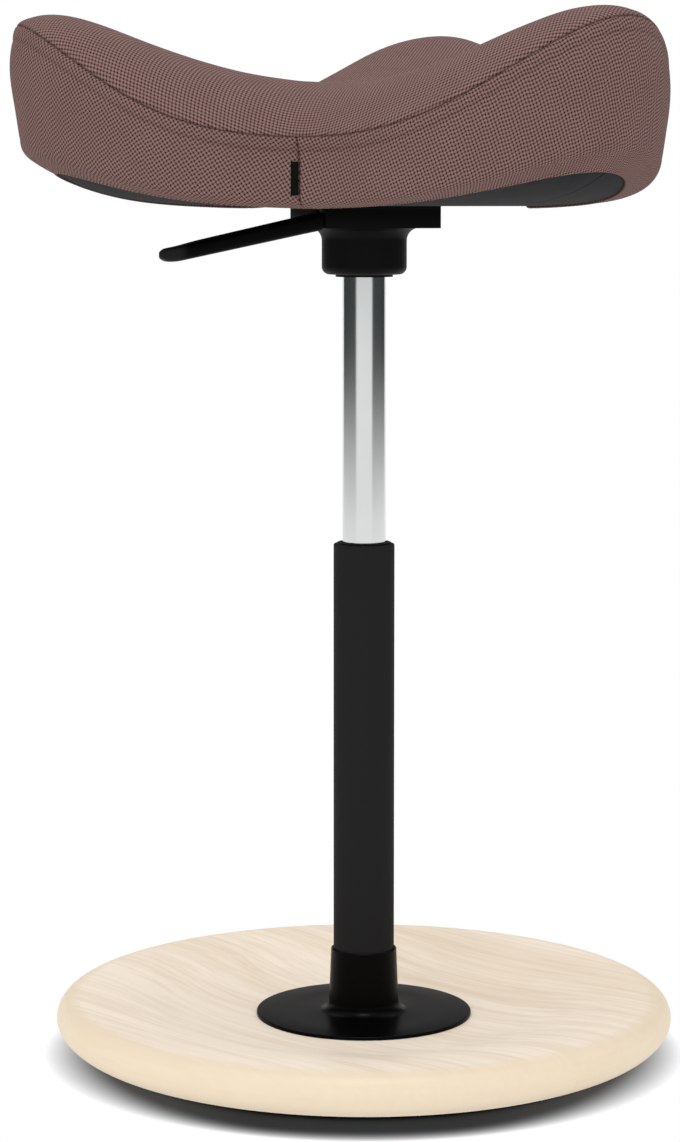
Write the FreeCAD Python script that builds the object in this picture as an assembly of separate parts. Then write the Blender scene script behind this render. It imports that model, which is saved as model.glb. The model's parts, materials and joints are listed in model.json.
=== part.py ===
import FreeCAD, Part
import math
import os

# Perch stool: a dished wooden foot on a rocker pad, a stand tube, a locking gas
# spring, a release lever and a three lobed saddle seat.
# Millimetres. The floor is z = 0, the column axis is x = y = 0, and one lobe of
# the seat, with the lever under it, points to -X.

V = FreeCAD.Vector
UP = V(0, 0, 1)

# Foot
foot_radius = 200.0
foot_rim_height = 24.2          # widest point of the rim above the floor
rim_top_width = 13.3
rim_top_height = 12.5
rim_under_width = 33.9
pad_thickness = 4.8             # from the floor to the wood
pad_inset = 1.1                 # pad's edge inside the flat of the wood
pad_edge_width = 55.0           # lifted ring round the flat that stands on the floor
pad_edge_lift = 2.6
pad_edge_ease = 0.3             # share of that lift reached halfway
dish_floor_height = 22.7        # top of the wood under the flange

# Flange, collar and stand tube
flange_radius = 70.0
flange_thickness = 2.2
flange_edge_round = 0.8
collar_height = 41.3
collar_foot_wall = 3.0
collar_top_wall = 1.6
collar_fillet = 6.5
collar_chamfer = 0.5
spigot_wall = 3.3
spigot_bottom = 8.0
tube_ledge_thickness = 2.0
tube_ledge_width = 4.7
tube_wall = 2.0
tube_length = 321.5
tube_top_round = 1.2
seat_fit = 0.05                 # radial gap where a fixed piece sits in another
wood_fit = 0.3

# Foot screws, M6, up through the wood into bosses under the flange
foot_screw_inset = 20.0         # from the edge of the flange
foot_screw_count = 4
m6_radius = 3.0
m6_clearance = 0.3
m6_head_overhang = 2.0
foot_boss_wall = 3.5
foot_boss_length = 7.7
foot_boss_skin = 0.5            # left over the thread
foot_counterbore_gap = 1.0
foot_counterbore_depth = 6.0
foot_washer_overhang = 1.6      # past the head
foot_washer_thickness = 0.8
foot_head_height = 3.3
foot_screw_reach = 6.2          # thread length inside the boss

# Bearing at the bottom of the tube
bottom_plate_offset = 4.0       # above the tube's lower end
bottom_plate_thickness = 4.0
journal_radius = 4.0
journal_gap = 0.2
race_thickness = 1.0
race_radius = 11.5
ball_radius = 1.6
ball_circle = 7.8
ball_count = 10
ball_gap = 0.1
cage_thickness = 1.0
cage_rim = 1.2
cage_ball_gap = 0.08
clip_thickness = 1.0
clip_radius = 6.6
clip_groove_radius = 3.2
clip_gap = 0.3
clip_opening = 4.6
rod_tail = 1.8

# Gas spring
rod_radius = 5.0
cylinder_radius = 14.0
cylinder_wall = 2.2
cylinder_lip_height = 2.0
cylinder_lip_width = 1.8
taper_height = 30.5
taper_drop = 0.9                # loss of radius over the taper
taper_fit = 0.03
running_gap = 0.05
bush_wall = 3.6
guide_length = 80.0
guide_lip = 1.0
guide_lip_inset = 0.8
bump_height = 10.2
bump_radius = 12.0
bump_waist = 2.55
bump_gap = 1.5
lift_down = 160.0
lift_up = 10.0
end_plug_length = 16.0
rod_seal_length = 5.0
piston_end_gap = 3.0
piston_length = 16.0
piston_rim_gap = 0.1
piston_ring_height = 4.0
piston_ring_depth = 1.8
piston_nut_height = 5.0
piston_nut_flats = 13.0
rod_thread_radius = 4.0
rod_thread_spare = 1.0          # past the nut
sleeve_gap = 1.6                # gas passage round the sleeve
sleeve_wall = 0.8
valve_length = 45.0
valve_stand = 0.5               # above the cylinder's end
valve_spigot = 8.0
pin_radius = 3.0
pin_length = 36.2
pin_tip_round = 1.6
pin_bore_spare = 5.0
valve_ring_height = 2.4
valve_ring_width = 1.7
valve_ring_drop = 20.0

# Mechanism under the seat
column_spare = 10.7             # socket above the tube at the lowest setting
cup_height = 29.7
cup_standoff = 8.85             # cup outside the socket
cup_wall = 2.0
cup_corner = 5.0
cup_flare = 8.0
socket_wall = 4.4
socket_drop = 1.5               # how far the socket shows below the cup
box_length = 75.0               # along the lever
box_width = 96.0
box_height = 11.8
box_wall = 3.0
box_corner = 2.0
plate_thickness = 2.0
pillar_inset = 9.5
pillar_wall = 1.5
pillar_gap = 1.0
bolt_head_height = 3.8
bolt_counterbore_gap = 0.5
bolt_end_gap = 1.0              # below the top of the nut
nut_barrel_wall = 0.9
nut_barrel_gap = 1.0            # below the barrel, to the underside of the shell
nut_flange_radius = 9.0
nut_flange_thickness = 1.5

# Lever
pivot_inset = 15.5              # from the side of the box
pivot_height = 8.2              # above the underside of the box
pivot_pin_radius = 1.5
pivot_pin_skin = 1.5            # wall left past the pin's end
lever_boss_radius = 3.3
lever_inset = 13.0              # from the front of the box
lever_width = 22.0
lever_tip_width = 26.0
lever_reach = 102.9             # from the side of the box to the tip
lever_slope = 12.7
lever_root_height = 11.5
lever_tip_height = 10.1
lever_root_gap = 1.1
lever_root_top = 9.7            # above the underside of the box
lever_neck_height = 3.6
lever_neck_drop = 0.83          # below the pivot
lever_neck_root = 2.0           # inside the arm
lever_edge_round = 1.6
finger_width = 8.0
finger_height = 3.1
finger_end_x = 3.0
finger_gap = 0.3
finger_drop = 1.1               # underside of the finger below the pivot
ear_width = 8.0
ear_thickness = 4.0
side_gap = 0.5

# Seat outline and heights as waves round the column: mean + lobe wave * cos(3a)
# + second wave * cos(6a), with a counted from the lobe over the lever
seat_mean_radius = 184.1
seat_lobe_radius = 38.8
seat_second_radius = -2.4
seam_mean_height = 69.0
seam_lobe_height = 34.7
seam_second_height = 8.0
seat_centre_height = 77.2
crown_rise = 15.75
crown_lobe_shift = 9.95
crown_second_shift = 2.8
edge_drop_mean = 31.2
edge_drop_lobe = 14.7
side_lean_mean = 3.5
side_lean_lobe = -1.9
side_bulge_mean = 0.6
side_bulge_lobe = 3.1
side_bulge_skew = 0.79          # fuller towards the seam
side_tuck = 2.7
side_tuck_height = 20.4
underside_lift = 36.1
underside_power = 2.45
underside_flank_lift = 4.0      # between lobes and valleys
underside_curve = 5.45          # power of the radius
bottom_edge_round = 6.0
bottom_edge_fullness = 0.8      # of a true quarter round
hem_width_mean = 22.9
hem_width_lobe = -0.9
hem_width_second = -1.15
seat_flat_radius = 66.0
cover_thickness = 1.6
cloth_thickness = 1.0
hem_gap = 0.4                   # between the cloth and the fabric's hem
shell_thickness = 12.0
shell_edge_thickness = 8.0
shell_edge_inset = 2.0
label_width = 4.7
label_height = 20.0
label_thickness = 0.6
label_low = 7.0                 # above the underside of the seat
label_lift = 0.6                # off the fabric
label_seam_gap = 0.2
label_steps = 4
label_angle = 238.5
arcs_per_ring = 24
overcut = 1.0                   # how far a cutting shape runs past what it cuts
touch = 0.01

# Heights and radii that follow
foot_boss_radius = m6_radius + foot_boss_wall
foot_head_radius = m6_radius + m6_head_overhang
foot_washer_radius = foot_head_radius + foot_washer_overhang
foot_counterbore_radius = foot_washer_radius + foot_counterbore_gap
bolt_head_radius = m6_radius + m6_head_overhang
nut_barrel_radius = m6_radius + nut_barrel_wall
pillar_radius = bolt_head_radius + bolt_counterbore_gap + pillar_wall
tube_bore = cylinder_radius + running_gap + bush_wall + seat_fit
tube_radius = tube_bore + tube_wall
pad_radius = foot_radius - rim_under_width - pad_inset
pad_flat_radius = pad_radius - pad_edge_width
collar_foot_radius = tube_radius + collar_foot_wall
collar_top_radius = tube_radius + collar_top_wall
spigot_radius = tube_radius + spigot_wall
tube_ledge_radius = tube_radius - tube_ledge_width
foot_screw_circle = flange_radius - foot_screw_inset
flange_top = dish_floor_height + flange_thickness
collar_top = flange_top + collar_height
tube_bottom = spigot_bottom + tube_ledge_thickness
tube_top = tube_bottom + tube_length
plate_low = tube_bottom + bottom_plate_offset
plate_high = plate_low + bottom_plate_thickness
ball_height = plate_high + race_thickness + ball_radius
race_high = ball_height + ball_radius + ball_gap
shoulder_height = race_high + race_thickness
bump_top = shoulder_height + bump_height
cylinder_bottom = bump_top + bump_gap + lift_down
cylinder_bore = cylinder_radius - cylinder_wall
cylinder_lip_radius = cylinder_bore - cylinder_lip_width
taper_top_radius = cylinder_radius - taper_drop
seal_top = cylinder_bottom + cylinder_lip_height + end_plug_length + rod_seal_length
piston_bottom = seal_top + lift_up + piston_end_gap
piston_top = piston_bottom + piston_length
sleeve_outer_radius = cylinder_bore - sleeve_gap
sleeve_bore = sleeve_outer_radius - sleeve_wall
socket_radius = cylinder_radius + socket_wall
cup_radius = socket_radius + cup_standoff
cup_bottom_height = tube_top + guide_lip + lift_down + column_spare + socket_drop
box_bottom = cup_bottom_height + cup_height
box_top = box_bottom + box_height
cavity_floor = box_bottom + box_wall
cylinder_top = box_bottom
taper_bottom = cylinder_top - taper_height
valve_top = cylinder_top + valve_stand
valve_bottom = valve_top - valve_length
seat_floor = box_top + plate_thickness
seat_base = seat_floor - cover_thickness + cloth_thickness
shell_base = seat_base + cover_thickness
nut_top = shell_base + shell_thickness
pillar_x = box_length / 2 - pillar_inset
pillar_y = box_width / 2 - pillar_inset
pivot_x = pivot_inset - box_length / 2
pivot_z = box_bottom + pivot_height
lever_y = lever_inset - box_width / 2
finger_low = pivot_z - finger_drop
pin_top = finger_low - finger_gap
neck_y0 = -pillar_y + pillar_radius + pillar_gap
neck_y1 = lever_y + lever_width / 2


def cylinder(radius, low, high, x=0.0, y=0.0):
    """Upright round bar between two heights."""
    return Part.makeCylinder(radius, high - low, V(x, y, low), UP)


def tube(outer, inner, low, high, x=0.0, y=0.0):
    """Upright tube between two heights."""
    return cylinder(outer, low, high, x, y).cut(cylinder(inner, low, high, x, y))


def box(x0, x1, y0, y1, z0, z1):
    """Block between two corners."""
    return Part.makeBox(x1 - x0, y1 - y0, z1 - z0, V(x0, y0, z0))


def line(a, b):
    """Straight edge in the plane of radius and height."""
    return Part.LineSegment(V(a[0], 0, a[1]), V(b[0], 0, b[1])).toShape()


def arc(a, middle, b):
    """Round edge through three points of radius and height."""
    return Part.Arc(V(a[0], 0, a[1]), V(middle[0], 0, middle[1]), V(b[0], 0, b[1])).toShape()


def quarter_ellipse(centre, width, height):
    """Quarter of an ellipse from its outermost point to its top or bottom."""
    ellipse = Part.Ellipse(V(centre[0] + width, 0, centre[1]),
                           V(centre[0], 0, centre[1] + height),
                           V(centre[0], 0, centre[1]))
    return Part.ArcOfEllipse(ellipse, 0, math.pi / 2).toShape()


def turned(edges):
    """Solid of revolution about the column axis from a closed outline."""
    face = Part.Face(Part.Wire(Part.__sortEdges__(edges)))
    solid = face.revolve(V(0, 0, 0), UP, 360)
    return solid if solid.Volume > 0 else solid.reversed()


def round_mid(centre, radius, degrees):
    """Point at an angle on a circle in the plane of radius and height."""
    a = math.radians(degrees)
    return (centre[0] + radius * math.cos(a), centre[1] + radius * math.sin(a))


def spread(count, circle, start=45.0):
    """Evenly spaced places on a circle."""
    places = []
    for i in range(count):
        a = math.radians(start + 360.0 * i / count)
        places.append((circle * math.cos(a), circle * math.sin(a)))
    return places


def joined(solids):
    """Separate solids kept together as one group."""
    return Part.Compound(solids)


# Foot

def base_disc():
    """Solid wood foot: a shallow dish with a rounded rim."""
    crest = (foot_radius - rim_top_width, foot_rim_height + rim_top_height)
    inner = (flange_radius, dish_floor_height)
    middle = ((crest[0] + inner[0]) / 2, (crest[1] + inner[1]) / 2)
    run = crest[0] - inner[0]
    fall = crest[1] - inner[1]
    bend = (run * run + fall * fall) / (4 * fall)
    half = math.degrees(math.asin(run / 2 / bend)) / 2
    crest_mid = round_mid((crest[0], crest[1] - bend), bend, 90 + half)
    inner_mid = round_mid((inner[0], inner[1] + bend), bend, -90 + half)
    under = foot_rim_height - pad_thickness
    hole = spigot_radius + wood_fit
    low_edge = (foot_radius - rim_under_width, pad_thickness)
    edges = [
        line((hole, pad_thickness), low_edge),
        quarter_ellipse((low_edge[0], foot_rim_height), rim_under_width, -under),
        quarter_ellipse((crest[0], foot_rim_height), rim_top_width, rim_top_height),
        arc(crest, crest_mid, middle),
        arc(middle, inner_mid, inner),
        line(inner, (hole, dish_floor_height)),
        line((hole, dish_floor_height), (hole, pad_thickness)),
    ]
    wood = turned(edges)
    boss_low = dish_floor_height - foot_boss_length
    for x, y in spread(foot_screw_count, foot_screw_circle):
        wood = wood.cut(cylinder(foot_boss_radius + wood_fit, boss_low, dish_floor_height + overcut,
                                 x, y))
        wood = wood.cut(cylinder(m6_radius + m6_clearance, pad_thickness, boss_low, x, y))
        wood = wood.cut(cylinder(foot_counterbore_radius, pad_thickness - overcut,
                                 pad_thickness + foot_counterbore_depth, x, y))
    return wood


def rocker_pad():
    """Rubber pad: flat in the middle, its edge lifted so that the stool can lean."""
    rise_mid = ((pad_radius + pad_flat_radius) / 2, pad_edge_lift * pad_edge_ease)
    return turned([
        line((0, 0), (pad_flat_radius, 0)),
        arc((pad_flat_radius, 0), rise_mid, (pad_radius, pad_edge_lift)),
        line((pad_radius, pad_edge_lift), (pad_radius, pad_thickness)),
        line((pad_radius, pad_thickness), (0, pad_thickness)),
        line((0, pad_thickness), (0, 0)),
    ])


def hub_flange():
    """Flange, tapered collar and spigot in one casting, with four threaded bosses."""
    bore = tube_radius + seat_fit
    chamfer = collar_chamfer
    foot = collar_foot_radius + collar_fillet
    fillet_centre = (foot, flange_top + collar_fillet)
    edge = flange_edge_round
    rim_centre = (flange_radius - edge, flange_top - edge)
    edges = [
        line((tube_ledge_radius, spigot_bottom), (spigot_radius, spigot_bottom)),
        line((spigot_radius, spigot_bottom), (spigot_radius, dish_floor_height)),
        line((spigot_radius, dish_floor_height), (flange_radius, dish_floor_height)),
        line((flange_radius, dish_floor_height), (flange_radius, rim_centre[1])),
        arc((flange_radius, rim_centre[1]), round_mid(rim_centre, edge, 45), (rim_centre[0], flange_top)),
        line((rim_centre[0], flange_top), (foot, flange_top)),
        arc((foot, flange_top), round_mid(fillet_centre, collar_fillet, 225),
            (collar_foot_radius, fillet_centre[1])),
        line((collar_foot_radius, fillet_centre[1]), (collar_top_radius, collar_top - chamfer)),
        line((collar_top_radius, collar_top - chamfer), (collar_top_radius - chamfer, collar_top)),
        line((collar_top_radius - chamfer, collar_top), (bore + chamfer, collar_top)),
        line((bore + chamfer, collar_top), (bore, collar_top - chamfer)),
        line((bore, collar_top - chamfer), (bore, tube_bottom)),
        line((bore, tube_bottom), (tube_ledge_radius, tube_bottom)),
        line((tube_ledge_radius, tube_bottom), (tube_ledge_radius, spigot_bottom)),
    ]
    hub = turned(edges)
    boss_low = dish_floor_height - foot_boss_length
    for x, y in spread(foot_screw_count, foot_screw_circle):
        hub = hub.fuse(cylinder(foot_boss_radius, boss_low, dish_floor_height, x, y))
    for x, y in spread(foot_screw_count, foot_screw_circle):
        hub = hub.cut(cylinder(m6_radius, boss_low, dish_floor_height - foot_boss_skin, x, y))
    return hub.removeSplitter()


def foot_screws():
    """Screws from below, their heads in the counterbores of the wood."""
    washer_low = pad_thickness + foot_counterbore_depth - foot_washer_thickness
    thread_top = dish_floor_height - foot_boss_length + foot_screw_reach
    screws = []
    for x, y in spread(foot_screw_count, foot_screw_circle):
        head = cylinder(foot_head_radius, washer_low - foot_head_height, washer_low, x, y)
        socket = cylinder(foot_head_radius / 2, washer_low - foot_head_height,
                          washer_low - foot_head_height / 2, x, y)
        shank = cylinder(m6_radius - seat_fit, washer_low, thread_top, x, y)
        screws.append(head.cut(socket).fuse(shank))
    return joined(screws)


def foot_washers():
    """Plain washers between the screw heads and the wood."""
    top = pad_thickness + foot_counterbore_depth
    washers = []
    for x, y in spread(foot_screw_count, foot_screw_circle):
        washers.append(tube(foot_washer_radius, m6_radius + m6_clearance,
                            top - foot_washer_thickness, top, x, y))
    return joined(washers)


# Column

def stand_tube():
    """Outer tube of the column, its top edge rounded."""
    corner = (tube_radius - tube_top_round, tube_top - tube_top_round)
    return turned([
        line((tube_bore, tube_bottom), (tube_radius, tube_bottom)),
        line((tube_radius, tube_bottom), (tube_radius, corner[1])),
        arc((tube_radius, corner[1]), round_mid(corner, tube_top_round, 45), (corner[0], tube_top)),
        line((corner[0], tube_top), (tube_bore, tube_top)),
        line((tube_bore, tube_top), (tube_bore, tube_bottom)),
    ])


def tube_bottom_plate():
    """Plate that closes the tube and carries the bearing."""
    return tube(tube_bore - seat_fit, journal_radius + journal_gap, plate_low, plate_high)


def guide_bush():
    """Plastic bush that guides the cylinder, with a low lip over the tube's end."""
    outer = tube_bore - seat_fit
    inner = cylinder_radius + running_gap
    sleeve = tube(outer, inner, tube_top - guide_length, tube_top)
    lip = Part.makeCone(tube_bore, tube_bore - guide_lip_inset, guide_lip, V(0, 0, tube_top), UP)
    lip = lip.cut(cylinder(inner, tube_top, tube_top + guide_lip))
    return sleeve.fuse(lip).removeSplitter()


def bearing_race_lower():
    """Hardened washer under the balls."""
    return tube(race_radius, journal_radius + journal_gap, plate_high, plate_high + race_thickness)


def bearing_race_upper():
    """Hardened washer over the balls, under the rod's shoulder."""
    return tube(race_radius, journal_radius + seat_fit, race_high, shoulder_height)


def bearing_balls():
    """Ring of balls that lets the seat swivel."""
    balls = []
    for x, y in spread(ball_count, ball_circle, 0.0):
        balls.append(Part.makeSphere(ball_radius, V(x, y, ball_height)))
    return joined(balls)


def bearing_cage():
    """Flat cage that keeps the balls apart."""
    low = ball_height - cage_thickness / 2
    high = ball_height + cage_thickness / 2
    reach = ball_radius + cage_rim
    cage = tube(ball_circle + reach, ball_circle - reach, low, high)
    for x, y in spread(ball_count, ball_circle, 0.0):
        cage = cage.cut(cylinder(ball_radius + cage_ball_gap, low, high, x, y))
    return cage


def piston_rod():
    """Rod of the gas spring, from the bearing up to the piston."""
    clip_top = plate_low - clip_gap
    clip_low = clip_top - clip_thickness
    thread_top = piston_top + piston_nut_height + rod_thread_spare
    rod = cylinder(journal_radius, clip_low - rod_tail, shoulder_height)
    groove = tube(journal_radius + overcut, clip_groove_radius, clip_low, clip_top)
    rod = rod.cut(groove)
    rod = rod.fuse(cylinder(rod_radius, shoulder_height, piston_bottom))
    rod = rod.fuse(cylinder(rod_thread_radius, piston_bottom, thread_top))
    return rod.removeSplitter()


def retaining_clip():
    """Open clip in the rod's groove, under the plate."""
    clip_top = plate_low - clip_gap
    ring = tube(clip_radius, clip_groove_radius + seat_fit, clip_top - clip_thickness, clip_top)
    gap = box(0, clip_radius + overcut, -clip_opening / 2, clip_opening / 2,
              clip_top - clip_thickness, clip_top)
    return ring.cut(gap)


def bump_stop():
    """Rubber ring that the cylinder meets at its lowest."""
    stop = tube(bump_radius, rod_radius + seat_fit, shoulder_height, bump_top)
    middle = (shoulder_height + bump_top) / 2
    ring = Part.makeTorus(bump_radius + bump_waist / 2, bump_waist, V(0, 0, middle), UP)
    return stop.cut(ring)


def piston():
    """Piston on the end of the rod, with a groove for its ring."""
    radius = sleeve_bore - piston_rim_gap
    body = tube(radius, rod_thread_radius + seat_fit, piston_bottom, piston_top)
    low = (piston_bottom + piston_top - piston_ring_height) / 2
    groove = tube(radius + overcut, radius - piston_ring_depth, low, low + piston_ring_height)
    return body.cut(groove)


def piston_ring():
    """Sliding ring of the piston."""
    outer = sleeve_bore - running_gap
    low = (piston_bottom + piston_top - piston_ring_height) / 2
    inner = sleeve_bore - piston_rim_gap - piston_ring_depth
    return tube(outer, inner, low, low + piston_ring_height)


def piston_nut():
    """Hexagon nut that holds the piston."""
    across = piston_nut_flats / math.cos(math.radians(30)) / 2
    corners = []
    for i in range(7):
        a = math.radians(60 * i)
        corners.append(V(across * math.cos(a), across * math.sin(a), piston_top))
    nut = Part.Face(Part.makePolygon(corners)).extrude(V(0, 0, piston_nut_height))
    return nut.cut(cylinder(rod_thread_radius + seat_fit, piston_top, piston_top + piston_nut_height))


def gas_cylinder():
    """Steel cylinder with a rolled lip below and a taper above."""
    outer = cylinder(cylinder_radius, cylinder_bottom, taper_bottom)
    cone = Part.makeCone(cylinder_radius, taper_top_radius, taper_height, V(0, 0, taper_bottom), UP)
    body = outer.fuse(cone)
    body = body.cut(cylinder(cylinder_bore, cylinder_bottom + cylinder_lip_height, cylinder_top))
    body = body.cut(cylinder(cylinder_lip_radius, cylinder_bottom, cylinder_top))
    return body.removeSplitter()


def rod_guide():
    """Plug in the cylinder's lower end that guides the rod."""
    low = cylinder_bottom + cylinder_lip_height
    return tube(cylinder_bore - seat_fit, rod_radius + running_gap, low, low + end_plug_length)


def rod_seal():
    """Gas seal round the rod, above its guide."""
    return tube(cylinder_bore - seat_fit, rod_radius + running_gap,
                seal_top - rod_seal_length, seal_top)


def pressure_sleeve():
    """Inner tube that the piston slides in."""
    return tube(sleeve_outer_radius, sleeve_bore, seal_top, valve_bottom)


def valve_body():
    """Plug in the cylinder's upper end, bored for the release pin."""
    body = cylinder(cylinder_bore - seat_fit, valve_bottom, valve_top)
    body = body.fuse(cylinder(sleeve_bore - seat_fit, valve_bottom - valve_spigot, valve_bottom))
    pin_low = pin_top - pin_length
    body = body.cut(cylinder(pin_radius + running_gap, pin_low - pin_bore_spare, valve_top))
    ring_top = valve_top - valve_ring_drop
    body = body.cut(cylinder(pin_radius + valve_ring_width, ring_top - valve_ring_height, ring_top))
    return body.removeSplitter()


def valve_ring():
    """Sealing ring round the release pin."""
    ring_top = valve_top - valve_ring_drop
    return tube(pin_radius + valve_ring_width, pin_radius + running_gap,
                ring_top - valve_ring_height, ring_top)


def release_pin():
    """Pin that opens the gas valve when the lever presses it."""
    pin = cylinder(pin_radius, pin_top - pin_length, pin_top)
    rim = [e for e in pin.Edges if abs(e.BoundBox.ZMin - pin_top) < touch]
    return pin.makeFillet(pin_tip_round, rim)


# Mechanism under the seat

def pillar_places():
    """Centres of the four seat bolts."""
    return [(sx * pillar_x, sy * pillar_y) for sx in (-1, 1) for sy in (-1, 1)]


def mechanism_body():
    """Casting with the taper socket, the lever's chamber and four bolt pillars."""
    half_x = box_length / 2
    half_y = box_width / 2
    outer = box(-half_x, half_x, -half_y, half_y, box_bottom, box_top)
    upright = [e for e in outer.Edges if e.BoundBox.ZLength > box_height / 2]
    outer = outer.makeFillet(box_corner, upright)
    chamber = box(-half_x + box_wall, half_x - box_wall, -half_y + box_wall, half_y - box_wall,
                  cavity_floor, box_top)
    body = outer.cut(chamber)
    for x, y in pillar_places():
        body = body.fuse(cylinder(pillar_radius, cavity_floor, box_top, x, y).common(outer))
    body = body.fuse(cylinder(socket_radius, cup_bottom_height - socket_drop, box_bottom))
    ear_x0 = pivot_x - ear_width / 2
    ear_x1 = pivot_x + ear_width / 2
    near_ear = neck_y0 - side_gap
    far_ear = finger_width / 2 + side_gap
    body = body.fuse(box(ear_x0, ear_x1, -half_y + box_wall, near_ear, cavity_floor, box_top))
    body = body.fuse(box(ear_x0, ear_x1, far_ear, far_ear + ear_thickness, cavity_floor, box_top))
    body = body.cut(box(-half_x - overcut, -half_x + box_wall + overcut, neck_y0 - side_gap,
                        neck_y1 + side_gap, cavity_floor, box_top))
    for x, y in pillar_places():
        body = body.cut(cylinder(m6_radius + m6_clearance, box_bottom, box_top, x, y))
        body = body.cut(cylinder(bolt_head_radius + bolt_counterbore_gap, box_bottom - overcut,
                                 box_bottom + bolt_head_height, x, y))
    fit = taper_fit
    socket = Part.makeCone(cylinder_radius + fit, taper_top_radius + fit, taper_height,
                           V(0, 0, taper_bottom), UP)
    body = body.cut(socket)
    body = body.cut(cylinder(cylinder_radius + fit, cup_bottom_height - socket_drop, taper_bottom))
    body = body.cut(cylinder(taper_top_radius + fit, cylinder_top, box_top))
    pin = Part.makeCylinder(pivot_pin_radius + taper_fit, box_width,
                            V(pivot_x, -half_y, pivot_z), V(0, 1, 0))
    pin = pin.common(box(ear_x0, ear_x1, -half_y + pivot_pin_skin, far_ear + ear_thickness,
                         cavity_floor, box_top))
    return body.cut(pin).removeSplitter()


def seat_plate():
    """Steel plate that closes the chamber and bears on the seat."""
    half_x = box_length / 2
    half_y = box_width / 2
    plate = box(-half_x, half_x, -half_y, half_y, box_top, seat_floor)
    upright = [e for e in plate.Edges if e.BoundBox.ZLength > plate_thickness / 2]
    plate = plate.makeFillet(box_corner, upright)
    for x, y in pillar_places():
        plate = plate.cut(cylinder(m6_radius + m6_clearance, box_top, seat_floor, x, y))
    return plate


def cup_cover():
    """Plastic cup round the socket, flared to meet the casting."""
    low = cup_bottom_height
    top = box_bottom
    inner = cup_radius - cup_wall
    hole = socket_radius + running_gap
    corner = (cup_radius - cup_corner, low + cup_corner)
    flare = (cup_radius + cup_flare, top - cup_flare)
    in_corner = cup_corner - cup_wall
    in_flare = cup_flare + cup_wall
    return turned([
        line((hole, low), (corner[0], low)),
        arc((corner[0], low), round_mid(corner, cup_corner, -45), (cup_radius, corner[1])),
        line((cup_radius, corner[1]), (cup_radius, flare[1])),
        arc((cup_radius, flare[1]), round_mid(flare, cup_flare, 135), (flare[0], top)),
        line((flare[0], top), (inner, top)),
        line((inner, top), (inner, corner[1])),
        arc((inner, corner[1]), round_mid(corner, in_corner, -45), (corner[0], low + cup_wall)),
        line((corner[0], low + cup_wall), (hole, low + cup_wall)),
        line((hole, low + cup_wall), (hole, low)),
    ])


def pivot_pin():
    """Steel pin that the lever turns on, held in the two ears."""
    y0 = -box_width / 2 + pivot_pin_skin
    y1 = finger_width / 2 + side_gap + ear_thickness
    return Part.makeCylinder(pivot_pin_radius, y1 - y0, V(pivot_x, y0, pivot_z), V(0, 1, 0))


def seat_bolts():
    """Bolts up through the casting and the plate into the seat."""
    bolts = []
    for x, y in pillar_places():
        head_top = box_bottom + bolt_head_height
        head = cylinder(bolt_head_radius, box_bottom, head_top, x, y)
        socket = cylinder(bolt_head_radius / 2, box_bottom, box_bottom + bolt_head_height / 2, x, y)
        shank = cylinder(m6_radius - seat_fit, head_top, nut_top - bolt_end_gap, x, y)
        bolts.append(head.cut(socket).fuse(shank))
    return joined(bolts)


def seat_nuts():
    """Flanged nuts let into the shell from above."""
    high = nut_top
    low = shell_base + nut_barrel_gap
    nuts = []
    for x, y in pillar_places():
        barrel = cylinder(nut_barrel_radius, low, high, x, y)
        flange = cylinder(nut_flange_radius, high - nut_flange_thickness, high, x, y)
        nuts.append(barrel.fuse(flange).cut(cylinder(m6_radius, low, high, x, y)))
    return joined(nuts)


# Lever

def lever():
    """Release lever: sloping arm, neck through the box wall, boss and finger."""
    slope = math.tan(math.radians(lever_slope))
    half = box_length / 2
    root_x = -half - lever_root_gap
    tip_x = -half - lever_reach
    root_top = box_bottom + lever_root_top
    tip_top = root_top - (root_x - tip_x) * slope
    outline = [
        V(root_x, 0, root_top),
        V(tip_x, 0, tip_top),
        V(tip_x, 0, tip_top - lever_tip_height),
        V(root_x, 0, root_top - lever_root_height),
        V(root_x, 0, root_top),
    ]
    side = Part.Face(Part.makePolygon(outline))
    wide = max(lever_width, lever_tip_width)
    side.translate(V(0, lever_y - wide / 2, 0))
    slab = side.extrude(V(0, wide, 0))
    pad_radius_y = lever_tip_width / 2
    pad_x = tip_x + pad_radius_y
    plan = [
        V(root_x, lever_y - lever_width / 2, 0),
        V(pad_x, lever_y - pad_radius_y, 0),
        V(tip_x, lever_y, 0),
        V(pad_x, lever_y + pad_radius_y, 0),
        V(root_x, lever_y + lever_width / 2, 0),
    ]
    outline_edges = [
        Part.LineSegment(plan[0], plan[1]).toShape(),
        Part.Arc(plan[1], plan[2], plan[3]).toShape(),
        Part.LineSegment(plan[3], plan[4]).toShape(),
        Part.LineSegment(plan[4], plan[0]).toShape(),
    ]
    plan_face = Part.Face(Part.Wire(outline_edges))
    plan_low = tip_top - lever_tip_height - overcut
    plan_face.translate(V(0, 0, plan_low))
    arm = slab.common(plan_face.extrude(V(0, 0, root_top + overcut - plan_low)))
    neck_z = pivot_z - lever_neck_drop
    neck = box(root_x - lever_neck_root, pivot_x, neck_y0, neck_y1,
               neck_z - lever_neck_height / 2, neck_z + lever_neck_height / 2)
    boss_y0 = neck_y0
    boss_y1 = finger_width / 2
    boss = Part.makeCylinder(lever_boss_radius, boss_y1 - boss_y0,
                             V(pivot_x, boss_y0, pivot_z), V(0, 1, 0))
    finger = box(pivot_x, finger_end_x, -finger_width / 2, finger_width / 2,
                 finger_low, finger_low + finger_height)
    along = [e for e in arm.Edges if e.BoundBox.XLength > lever_edge_round]
    arm = arm.makeFillet(lever_edge_round, along)
    body = arm.fuse(neck).fuse(boss).fuse(finger)
    bore = Part.makeCylinder(pivot_pin_radius + running_gap, boss_y1 - boss_y0,
                             V(pivot_x, boss_y0, pivot_z), V(0, 1, 0))
    return body.cut(bore).removeSplitter()


# Seat

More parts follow.
